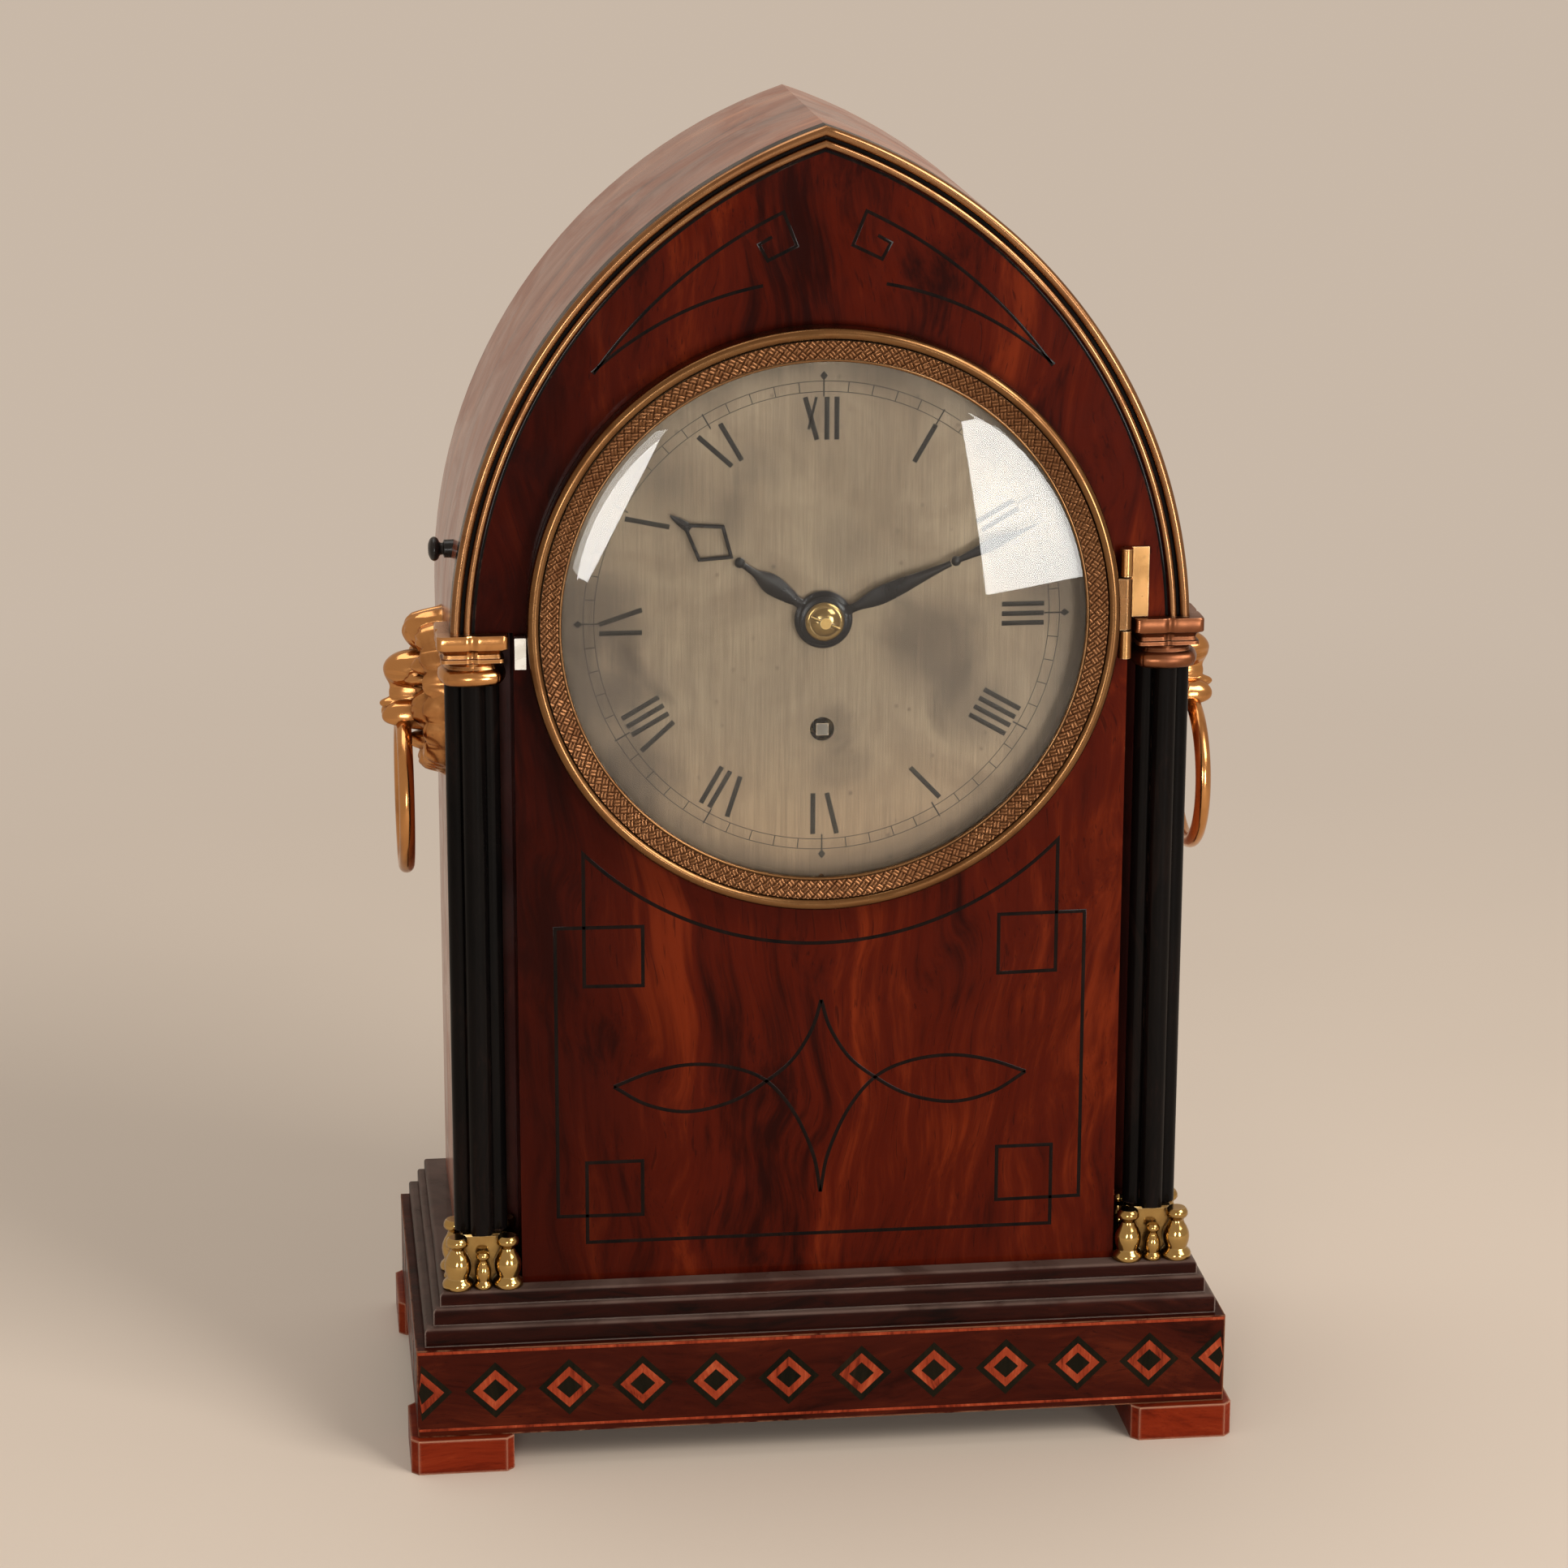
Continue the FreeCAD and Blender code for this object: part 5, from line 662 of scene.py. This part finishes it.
# Insets from the arch's outer edge: the two beads with their radii, and the black line inside them.
archTrim = dict(proud=0.45, beads=((1.45, 1.45), (4.85, 1.15)), line=6.6, lineWidth=0.9)
beadDepth = caseBody["panelFront"] - archTrim["proud"]
beads = [moulding(archLine(caseBody["archRadius"] - inset, caseBody["capitalTop"]), roundSection(radius), beadDepth)
         for inset, radius in archTrim["beads"]]
makePiece("archBeads", beads, "case", [finishes["beadBrass"]], ["arch_beads"])
archBand = moulding(archLine(caseBody["archRadius"] - archTrim["line"], caseBody["capitalTop"] + 0.1),
                    stripSection(archTrim["lineWidth"], 0.05), caseBody["panelFront"])
makePiece("archBand", [archBand], "case", [finishes["ebony"]])

print("stage: columns")
shaftShape = dict(offset=4.4, lobe=3.4)


# Radius of four overlapping circles: o cos(t) + sqrt(r^2 - o^2 sin(t)^2), t measured from the nearest lobe.
def quatrefoil(turn, offset, lobe):
    off = (turn + np.pi / 4) % (np.pi / 2) - np.pi / 4
    return offset * np.cos(off) + np.sqrt(np.maximum(lobe ** 2 - (offset * np.sin(off)) ** 2, 0))


# Rows of (height, plan radius over the turn) become a closed upright surface about the column's axis.
def uprightPart(levels, turn, centre, finish=0):
    points = np.stack([np.column_stack([centre[0] + plan * np.cos(turn), centre[1] + plan * np.sin(turn),
                                        np.full(len(turn), height)]) for height, plan in levels])
    return gridPart(points, wrapColumns=True, finish=finish)


turn = np.linspace(0, 2 * np.pi, 160, endpoint=False)
lobes = quatrefoil(turn, shaftShape["offset"], shaftShape["lobe"])
square = (np.abs(np.cos(turn)) ** 16 + np.abs(np.sin(turn)) ** 16) ** (-1 / 16)
notch = 1 - 0.075 * np.exp(-(np.minimum(np.abs(np.sin(turn)), np.abs(np.cos(turn))) / 0.10) ** 2)
doubled = 0.5 * square * 0.93 + 0.5 * (0.86 + 0.16 * np.abs(np.sin(2 * turn + np.pi / 2)) ** 0.5)
# Capital: height over the shaft, half width, and how far the plan is lobed instead of notched square
capitalRise = [(0.0, 7.2, 1), (0.0, 8.5, 1), (0.5, 9.4, 1), (1.5, 9.9, 1), (2.6, 10.0, 1), (3.7, 9.6, 1), (4.4, 8.9, 1),
               (4.7, 8.1, 1), (5.6, 7.7, 1), (6.5, 8.0, 0.6), (6.8, 8.5, 0.5), (7.0, 9.0, 0), (8.0, 9.0, 0),
               (8.2, 8.3, 0), (9.2, 8.1, 0), (10.2, 8.6, 0), (10.7, 9.4, 0), (10.9, 9.95, 0), (11.2, 10.15, 0),
               (14.6, 10.15, 0), (15.0, 9.9, 0), (15.0, 0.0, 0)]
# Bulb feet: (radius, height), then the place of each across and back from the column's axis, and its size
footRise = [(4.3, 0.0), (4.55, 0.5), (4.6, 1.3), (4.25, 2.1), (3.6, 2.7), (3.3, 3.2), (3.4, 3.8), (3.8, 5.0),
            (3.95, 6.6), (3.75, 8.1), (3.05, 9.7), (2.4, 10.8), (2.15, 11.7), (2.4, 12.4), (3.0, 12.9), (3.35, 13.5),
            (3.3, 14.4), (2.9, 15.2), (2.5, 15.6), (0.0, 15.6)]
footPlaces = [(-7.35, -7.35, 1), (7.35, -7.35, 1), (-7.35, 7.35, 1), (7.35, 7.35, 1),
              (0, -8.4, 0.6), (0, 8.0, 0.6), (-8.4, 0, 0.6), (8.4, 0, 0.6)]
for side, word in ((-1, "left"), (1, "right")):
    centre = (side * caseBody["columnX"], caseBody["columnY"])
    shaft = uprightPart([(caseBody["shaftFoot"], lobes * 0.0), (caseBody["shaftFoot"], lobes),
                         (caseBody["shaftTop"], lobes), (caseBody["shaftTop"], lobes * 0.0)], turn, centre)
    makePiece("columnShaft_" + word, [shaft], "case", [finishes["ebony"]], ["column_" + word])
    levels = []
    for height, half, rounding in capitalRise:
        plan = half * (rounding * doubled + (1 - rounding) * square * notch)
        levels.append((caseBody["shaftTop"] + height, plan))
    levels.insert(0, (caseBody["shaftTop"], lobes * 0.0))
    # The right capital takes the copy of the gilt with painted shade and tarnish.
    makePiece("capitalCast_" + word, [uprightPart(levels, turn, centre)], "case",
              [finishes["gilt" if side < 0 else "shadedDullGilt"]], ["capital_" + word])
    feet = []
    for across, back, size in footPlaces:
        tallness = 1 if size == 1 else 0.7
        profile = [(radius * size, height * tallness + caseBody["floor"]) for radius, height in footRise]
        profile.insert(0, (0.0, caseBody["floor"]))
        feet.append(turnedPart(profile, (centre[0] + across, centre[1] + back, 0), "z", 36))
    core = blockPart((centre[0] - 6.2, centre[1] - 6.2, caseBody["floor"]),
                     (centre[0] + 6.2, centre[1] + 6.2, caseBody["shaftFoot"] - 0.05), 0.5)
    makePiece("columnFoot_" + word, feet + [core], "case", [finishes["footBrass"]],
              ["column_base_" + word])

print("stage: handles")
maskLow, maskHigh = boxOf("lion_mask_left")
maskShape = dict(wall=106.0, middle=(maskLow[2] + maskHigh[2]) / 2, halfWidth=(maskHigh[1] - maskLow[1]) / 2,
                 halfHeight=(maskHigh[2] - maskLow[2]) / 2, curls=14)
# Balls and eggs of the cast mask: place across, up and out, then half sizes across, up and out.
maskLumps = [(0, 18.4, 4.2, 5.6, 6.6, 7.3), (6.8, 16.8, 2.8, 3.9, 5.2, 5.4), (11.2, 12.4, 2.2, 3.2, 5.0, 5.0),
             (13.0, 5.2, 2.0, 2.8, 4.6, 4.6), (12.8, -2.6, 2.0, 2.8, 4.6, 4.6), (11.8, -9.8, 1.8, 3.0, 4.6, 4.6),
             (9.2, -15.6, 1.8, 3.2, 4.8, 4.6), (0, 6.8, 9.2, 5.8, 5.6, 8.3), (5.8, 5.4, 5.6, 3.8, 2.4, 6.4),
             (9.4, 9.8, 4.6, 2.6, 3.0, 5.0), (5.2, 1.8, 5.6, 1.9, 1.5, 3.8), (0, -0.4, 9.5, 2.6, 6.0, 6.4),
             (2.7, -6.6, 11.0, 3.9, 4.5, 7.2), (0, -3.4, 12.0, 2.4, 1.8, 6.5), (8.4, -3.2, 3.8, 3.8, 6.4, 6.0),
             (0, -14.6, 4.6, 4.2, 3.2, 6.2), (0, -20.0, 2.4, 4.2, 5.0, 5.2), (5.2, -18.0, 1.9, 3.4, 5.0, 4.6)]


# Cast lion mask: the farthest of many eggs, w + c sqrt(1 - (u/a)^2 - (v/b)^2), softly joined as a mean of
# high powers, with sunk eyes and mouth, and combed hair, over a plate that rises fast from its rim.
def lionMask(shape):
    swing = np.linspace(0, 2 * np.pi, 260, endpoint=False)[None, :]
    out = np.linspace(0, 1, 84)[:, None]
    scallop = 0.95 + 0.05 * np.abs(np.cos(swing * shape["curls"] / 2)) ** 0.6
    u = out * scallop * shape["halfWidth"] * np.cos(swing)
    v = out * scallop * shape["halfHeight"] * np.sin(swing)
    pair = np.abs(u)
    plate = 4.6 * np.sqrt(np.clip(1 - out ** 8, 0, 1)) + 0 * u
    power = 10
    total = plate ** power
    for across, up, lift, wide, tall, deep in maskLumps:
        inside = 1 - ((pair - across) / wide) ** 2 - ((v - up) / tall) ** 2
        rise = np.where(inside > 0, lift + deep * np.sqrt(np.maximum(inside, 0)), lift * np.exp(1.6 * inside))
        total = total + np.maximum(rise, 0) ** power
    height = total ** (1 / power)
    hair = np.sin(swing * 30 + 5 * np.sin(out * 11)) * (0.6 + 0.4 * np.sin(out * 26 + swing * 5))
    height = height + 0.28 * hair * np.clip((out - 0.42) * 5, 0, 1) * np.clip((1 - out) * 9, 0, 1)
    # Folds over and under the eyes, the open mouth, the lip's groove and the nostrils
    height = height - 1.5 * np.exp(-((pair - 5.4) / 2.9) ** 2 - ((v - 6.0) / 0.9) ** 2)
    height = height - 1.0 * np.exp(-((pair - 5.4) / 2.6) ** 2 - ((v - 1.6) / 0.7) ** 2)
    height = height - 5.0 * np.exp(-((v + 10.6) / 1.3) ** 2) * np.exp(-(pair / 6.0) ** 4)
    height = height - 0.9 * np.exp(-(u / 0.5) ** 2 - ((v + 7.4) / 2.4) ** 2)
    height = height - 0.9 * np.exp(-((pair - 1.7) / 0.7) ** 2 - ((v + 4.4) / 0.8) ** 2)
    height = np.maximum(height * np.sqrt(np.clip((1 - out) * 12, 0, 1)), 0)
    front = np.stack([-shape["wall"] - height, u, shape["middle"] + v], axis=-1)
    back = front[[-1, 0]] * [0, 1, 1] + [-shape["wall"] + 0.1, 0, 0]
    return gridPart(np.concatenate([front, back]), wrapColumns=True)


maskPart = lionMask(maskShape)
makePiece("lionMaskCast_left", [maskPart], "case", [finishes["gilt"]], ["lion_mask_left"], crease=70)
makePiece("lionMaskCast_right", [mirrored(maskPart)], "case", [finishes["gilt"]], ["lion_mask_right"],
          crease=70)
ringShape = dict(reach=118.0, height=189.15, radius=21.85, bar=2.3)
swing = np.linspace(0, 2 * np.pi, 19)
ringProfile = np.column_stack([ringShape["radius"] + ringShape["bar"] * np.cos(swing),
                               ringShape["bar"] * np.sin(swing)])
for side, word in ((-1, "left"), (1, "right")):
    ring = turnedPart(ringProfile, (side * ringShape["reach"], 0, ringShape["height"]), "x", 120)
    makePiece("ringHandle_" + word, [ring], "ring_" + word, [finishes["gilt"]], ["ring_" + word])
knobLow, knobHigh = boxOf("side_knob")
knobY, knobZ = (knobLow[1] + knobHigh[1]) / 2, (knobLow[2] + knobHigh[2]) / 2
knobProfile = smoothLine([(0, knobLow[0]), (1.6, knobLow[0] + 0.15), (3.0, knobLow[0] + 0.8), (3.5, knobLow[0] + 1.8),
                          (3.0, knobLow[0] + 2.8), (1.9, knobLow[0] + 3.4), (1.7, knobLow[0] + 4.2)], 5)
knobProfile = np.vstack([knobProfile, [(2.6, knobLow[0] + 4.6), (2.7, knobHigh[0]), (0, knobHigh[0])]])
makePiece("sideKnobTurned", [turnedPart(knobProfile, (0, knobY, knobZ), "x", 40)], "case",
          [finishes["knob"]], ["side_knob"])

print("stage: hands")


# Hand parts are drawn upright and turned clockwise from twelve about the dial's centre.
def clockwise(part, angle):
    turned = math.radians(angle)
    x, y, z = part[0].T
    points = np.column_stack([x * math.cos(turned) + z * math.sin(turned), y,
                              dialPlace["height"] - x * math.sin(turned) + z * math.cos(turned)])
    return points, part[1], part[2]


# Cambered leaf: half its width over the length, with a front that bulges as 1 - s^2 across.
def leafPart(outline, back, wall, camber):
    outline = smoothLine(outline, 8)
    across = np.linspace(-1, 1, 9)
    front = np.stack([outline[:, 1:] * across, back - wall * 0.5 - camber * (1 - across ** 2) * np.minimum(
        outline[:, 1:] / 1.2, 1) + 0 * outline[:, 1:], outline[:, :1] + 0 * across], axis=-1)
    rear = front[:, ::-1].copy()
    rear[:, :, 1] = back
    points = np.concatenate([front, rear], axis=1)
    ends = points.mean(axis=1, keepdims=True) + 0 * points
    return gridPart(np.concatenate([ends[:1], points, ends[-1:]]), wrapColumns=True)


# Each hand: leaf and tip as (distance from the centre, half width), the button on it and the open kite
handSection = [(-0.5, 0.0), (-0.5, 0.45), (-0.2, 0.8), (0.2, 0.8), (0.5, 0.45), (0.5, 0.0)]
hourHand = dict(back=-50.8, angle=305.5, boss=8.3,
                leaf=[(6.5, 2.0), (9.0, 1.4), (12.5, 2.2), (17.5, 2.9), (20.5, 2.4), (23.5, 1.2), (26, 0.9),
                      (28.6, 0.8)],
                bead=(29.3, 1.5), kite=[(0, 32.3), (5.75, 39.3), (0, 48.6), (-5.75, 39.3)],
                tip=[(46.5, 1.3), (49.0, 1.2), (51.5, 0.8), (53.5, 0.2)])
minuteHand = dict(back=-52.8, angle=66.3, boss=7.2,
                  leaf=[(5.8, 2.0), (8.2, 1.3), (11, 1.4), (14, 2.1), (18, 2.6), (24, 2.3), (30, 1.6), (36, 1.0),
                        (39.4, 0.8)],
                  bead=(41.0, 1.4), kite=None,
                  tip=[(41.5, 0.8), (46.0, 1.15), (51.5, 1.7), (57.5, 1.1), (63.0, 0.5), (67.0, 0.15)])
for word, look in (("hour", hourHand), ("minute", minuteHand)):
    back, boss = look["back"], look["boss"]
    dome = [(0, back), (boss, back), (boss, back - 0.5), (boss - 0.6, back - 0.8), (boss - 2.2, back - 0.72),
            (0, back - 0.72)]
    beadAt, beadSize = look["bead"]
    button = [(0, back), (beadSize, back), (beadSize, back - 0.45), (beadSize * 0.6, back - 0.85), (0, back - 0.95)]
    parts = [turnedPart(dome, (0, 0, 0), "y", 72), turnedPart(button, (0, 0, beadAt), "y", 28),
             leafPart(look["leaf"], back, 0.8, 0.45), leafPart(look["tip"], back, 0.8, 0.3)]
    if look["kite"]:
        parts.append(moulding(look["kite"], handSection, back, closed=True))
    makePiece(word + "HandCut", [clockwise(part, look["angle"]) for part in parts], word + "_hand",
              [finishes["hand"]], [word + "_hand"])
colletProfile = [(0, -53.6), (5.6, -53.6), (5.6, -53.95), (5.3, -54.3), (4.6, -54.5), (4.2, -54.45), (3.9, -54.7),
                 (3.2, -55.1), (2.2, -55.4), (1.2, -55.5), (0, -55.52)]
pinProfile = [(0, -4.6), (0.45, -4.6), (0.62, 4.4), (0, 4.4)]
colletParts = [turnedPart(colletProfile, (0, 0, 0), "y", 56), turnedPart(pinProfile, (0, -55.55, 0), "x", 14)]
makePiece("handColletTurned", [clockwise(part, 24) for part in colletParts], "minute_hand",
          [finishes["collet"]], ["hand_collet"])

print("stage: dial marks")
dialMarks = dict(chapter=57.6, tall=12.2, thick=1.45, track=(65.2, 68.2), lift=0.045)


# Stroke: a straight strip from one point to another on the dial's face.
def stroke(start, end, width):
    return moulding([start, end], stripSection(width, dialMarks["lift"], 0.1), dialPlace["face"])


half = dialMarks["tall"] / 2
thick = dialMarks["thick"]
# Each numeral as strokes left to right: place across, lean of the top and of the foot, width, and how far down
# it runs, because the thin strokes are nearly worn away
numeralStrokes = {
    12: [(-3.6, -1.7, 1.7, thick, 1), (-3.4, 1.3, -0.9, 0.8, 0.5), (0.9, 0, 0, thick, 1), (3.7, 0, 0, thick, 1)],
    1: [(0, 0, 0, thick, 1)], 2: [(-1.4, 0, 0, thick, 1), (1.4, 0, 0, thick, 1)],
    3: [(-2.8, 0, 0, thick, 1), (0, 0, 0, thick, 1), (2.8, 0, 0, thick, 1)],
    4: [(-4.2, 0, 0, thick, 1), (-1.4, 0, 0, thick, 1), (1.4, 0, 0, thick, 1), (4.2, 0, 0, thick, 1)],
    5: [(-1.0, -1.7, 1.2, thick, 1)], 6: [(-2.6, -1.7, 1.2, thick, 1), (2.6, 0, 0, thick, 1)],
    7: [(-3.6, -1.5, 1.1, thick, 1), (0.8, 0, 0, thick, 1), (3.6, 0, 0, thick, 1)],
    8: [(-5.0, -1.5, 1.1, thick, 1), (-1.0, 0, 0, thick, 1), (1.8, 0, 0, thick, 1), (4.6, 0, 0, thick, 1)],
    9: [(-2.8, 0, 0, thick, 1), (1.8, -2.0, 2.0, thick, 1)], 10: [(0, -2.0, 2.0, thick, 1)],
    11: [(-2.2, -2.0, 2.0, thick, 1), (3.0, 0, 0, thick, 1)]}
marks = []
for hour, strokes in numeralStrokes.items():
    for across, topLean, footLean, width, share in strokes:
        line = stroke((across + footLean, dialMarks["chapter"] - half * share),
                      (across + topLean, dialMarks["chapter"] + half), width)
        marks.append(clockwise(line, hour * 30))
circle = np.linspace(0, 2 * np.pi, 180, endpoint=False)
for radius in dialMarks["track"]:
    marks.append(clockwise(moulding(np.column_stack([radius * np.cos(circle), radius * np.sin(circle)]),
                                    stripSection(0.2, dialMarks["lift"], 0.1), dialPlace["face"], closed=True), 0))
for minute in range(60):
    fifth = minute % 5 == 0
    inside, outside, width = (1.4, 0.5, 0.42) if fifth else (0, 0, 0.26)
    tick = stroke((0, dialMarks["track"][0] - inside), (0, dialMarks["track"][1] + outside), width)
    marks.append(clockwise(tick, minute * 6))
for quarter in range(4):
    middle = dialMarks["track"][1] + 1.5
    lozenge = [(0, middle - 1.4), (1.1, middle), (0, middle + 1.4), (-1.1, middle)]
    marks.append(clockwise(platePart(lozenge, dialPlace["face"], dialMarks["lift"], 0.1), quarter * 90))
makePiece("dialMarks", marks, "case", [finishes["ink"]])

print("stage: inlay")
inlay = dict(width=1.05, proud=0.04)


def inlayLine(points, closed=False, width=None, depth=None, finish=0):
    return moulding(points, stripSection(width or inlay["width"], inlay["proud"]),
                    caseBody["panelFront"] if depth is None else depth, closed, finish)


# Arc about a centre from one angle to another, in degrees from +X.
def arcLine(centre, radius, start, end, count=28):
    swing = np.radians(np.linspace(start, end, count))
    return np.column_stack([centre[0] + radius * np.cos(swing), centre[1] + radius * np.sin(swing)])


keySide = np.array([(69.0, 143.2), (52.0, 142.9), (52.0, 160.8), (77.3, 161.0), (77.3, 72.6), (52.5, 72.3),
                    (52.5, 89.0), (68.8, 89.0), (68.8, 64.2)])
sweep = arcLine((0, dialPlace["height"]), 96.4, 270 - 45.7, 270 + 45.7, 50)
border = np.vstack([sweep, keySide, keySide[::-1] * [-1, 1]])
starTop = smoothLine([(0, 136.6), (2.6, 128.0), (8.2, 118.8), (16, 112.2), (26, 106.4), (39, 103.7), (51, 106.3),
                      (60.7, 112.2)], 8)
starFoot = smoothLine([(0, 77.1), (2.2, 89.0), (8.0, 102.4), (16, 112.2), (26, 116.8), (38.4, 118.2), (50, 116.2),
                       (60.7, 112.2)], 8)
# The long line under the arch: its radius grows a little from the scroll at the top to the point at the foot
share = np.linspace(0, 1, 30)[:, None]
outerSwing = np.radians(63.6 + (34.9 - 63.6) * share)
outerRadius = 137.9 + 1.3 * share
outerArc = np.hstack([-49.7 + outerRadius * np.cos(outerSwing), 242.7 + outerRadius * np.sin(outerSwing)])
lowerArc = arcLine((0, dialPlace["height"]), 97.0, 48.1, 79.7, 26)
spiral = np.vstack([[(14.8, 359.4), (18.5, 357.3), (16.0, 352.8), (7.8, 356.8)], outerArc, lowerArc])
lines = [inlayLine(border, closed=True), inlayLine(starTop), inlayLine(starFoot), inlayLine(starTop * [-1, 1]),
         inlayLine(starFoot * [-1, 1]), inlayLine(spiral, width=0.95), inlayLine(spiral * [-1, 1], width=0.95)]
makePiece("panelStringing", lines, "case", [finishes["stringing"]])

plinthLow, plinthHigh = boxOf("plinth")
frieze = dict(middle=24.5, pitch=21.6, dark=(9.0, 8.8), red=(6.6, 6.4), core=(3.7, 3.5), proud=(0.03, 0.06, 0.09))


# Row of nested lozenges with a red line above and below, drawn on the front plane.
def friezeRow(count, width, top, foot, depth):
    row = []
    for place in (np.arange(count) - (count - 1) / 2) * frieze["pitch"]:
        for size, proud, finish in zip((frieze["dark"], frieze["red"], frieze["core"]), frieze["proud"], (0, 1, 0)):
            outline = np.array([(0, size[1]), (size[0], 0), (0, -size[1]), (-size[0], 0)]) + [place, frieze["middle"]]
            outline[:, 0] = np.clip(outline[:, 0], -width + 0.3, width - 0.3)
            row.append(platePart(outline, depth, proud, finish=finish))
    for height, thickness in ((top - 0.9, 0.9), (foot + 2.2, 0.8)):
        ends = [(-width + 0.3, height), (width - 0.3, height)]
        row.append(moulding(ends, stripSection(thickness, 0.05), depth, finish=1))
    return row


# A part drawn on the front plane, swung round to a side plane.
def swungRound(part, side):
    x, y, z = part[0].T
    return np.column_stack([-side * y, side * x, z]), part[1], part[2]


frontRow = friezeRow(12, plinthHigh[0], plinthHigh[2], plinthLow[2], plinthLow[1])
sideRow = friezeRow(6, plinthHigh[1], plinthHigh[2], plinthLow[2], plinthLow[0])
bothSides = [swungRound(part, side) for side in (1, -1) for part in sideRow]
makePiece("plinthFrieze", frontRow + bothSides,
          "case", [finishes["darkLozenge"], finishes["redStringing"]])

print("stage: floor, light and camera")
studio = dict(backdrop=(0.58, 0.48, 0.39), floor=(0.66, 0.55, 0.45), world=0.42, fade=(0.35, 1.1))
turn = np.linspace(0, 2 * np.pi, 97)[:-1]
floorMesh = bpy.data.meshes.new("floor")
floorMesh.from_pydata(np.column_stack([6 * np.cos(turn), 6 * np.sin(turn), 0 * turn]).tolist(), [], [list(range(96))])
floor = bpy.data.objects.new("floor", floorMesh)
bpy.context.scene.collection.objects.link(floor)
floorFinish, tree, surface, place = newFinish("paleFloor")
tone = noise(tree, place, 3.0, 3.0).outputs["Fac"]
feed(tree, surface, Base_Color=blendColour(tree, rangeOf(tree, tone, 0.3, 0.7), rgb(studio["floor"]),
                                           rgb(np.array(studio["floor"]) * 0.97)), Roughness=0.8)


# One where a camera, glossy or transmission ray looks, so that they all meet the pale background.
def seenRay(tree):
    path = tree.nodes.new("ShaderNodeLightPath").outputs
    return calc(tree, "MAXIMUM", calc(tree, "MAXIMUM", path["Is Camera Ray"], path["Is Glossy Ray"]),
                path["Is Transmission Ray"])


distance = shaderNode(tree, "VectorMath", {0: place}, operation="LENGTH").outputs[1]
fade = calc(tree, "MULTIPLY", rangeOf(tree, distance, *studio["fade"]), seenRay(tree))
glow = shaderNode(tree, "Emission", {"Color": rgb(studio["backdrop"]), "Strength": 1.0})
both = shaderNode(tree, "MixShader", {0: fade, 1: surface.outputs[0], 2: glow.outputs[0]})
tree.links.new(both.outputs[0], next(item for item in tree.nodes if item.type == "OUTPUT_MATERIAL").inputs["Surface"])
floorMesh.materials.append(floorFinish)

world = bpy.context.scene.world or bpy.data.worlds.new("studio")
bpy.context.scene.world = world
world.use_nodes = True
tree = world.node_tree
tree.nodes.clear()
ambient = shaderNode(tree, "Background", {"Color": (1.0, 0.97, 0.93, 1.0), "Strength": studio["world"]})
backdrop = shaderNode(tree, "Background", {"Color": rgb(studio["backdrop"]), "Strength": 1.0})
both = shaderNode(tree, "MixShader", {0: seenRay(tree), 1: ambient.outputs[0], 2: backdrop.outputs[0]})
tree.links.new(both.outputs[0], tree.nodes.new("ShaderNodeOutputWorld").inputs["Surface"])


def areaLight(name, place, target, size, power, colour, roll=0):
    lamp = bpy.data.lights.new(name, "AREA")
    lamp.shape = "RECTANGLE"
    lamp.size, lamp.size_y = size
    lamp.energy = power
    lamp.color = colour
    thing = bpy.data.objects.new(name, lamp)
    thing.location = place
    facing = (Vector(target) - Vector(place)).to_track_quat("-Z", "Y")
    thing.rotation_euler = (facing @ Quaternion((0, 0, 1), math.radians(roll))).to_euler()
    thing.visible_camera = False
    bpy.context.scene.collection.objects.link(thing)
    return thing


# Place, target, size, watts and colour; the two windows are what the glass reflects in the photograph
areaLight("keySoftbox", (1.3, -1.3, 1.45), (0, 0, 0.2), (1.0, 1.0), 30, (1.0, 0.97, 0.92))
areaLight("topSoftbox", (-0.4, 0.3, 2.1), (0, 0, 0.2), (1.3, 1.3), 12, (1.0, 0.98, 0.95))
areaLight("windowLight", (0.462, -1.0, 0.202), (0.08, -0.06, 0.22), (0.22, 0.275), 3.4, (1.0, 0.99, 0.97), 9)
areaLight("leftWindow", (-0.231, -1.0, 0.241), (-0.06, -0.06, 0.27), (0.14, 0.257), 2.0, (1.0, 0.99, 0.97), -27)

# The photograph's camera, solved from the base, the arch and the dial; the roll is in radians
photoView = dict(place=(-0.15552, -1.23104, 0.53383), target=(-0.01098, -0.05, 0.20189), roll=0.0027, lens=98.88)
cameraData = bpy.data.cameras.new("photoCamera")
cameraData.lens = photoView["lens"]
cameraData.sensor_width = 36.0
camera = bpy.data.objects.new("photoCamera", cameraData)
camera.location = photoView["place"]
aim = (Vector(photoView["target"]) - camera.location).to_track_quat("-Z", "Y")
camera.rotation_mode = "QUATERNION"
camera.rotation_quaternion = aim @ Quaternion((0, 0, 1), photoView["roll"])
bpy.context.scene.collection.objects.link(camera)
bpy.context.scene.camera = camera
bpy.context.scene.view_settings.view_transform = "Standard"

bpy.context.view_layer.update()
print("stage: done")
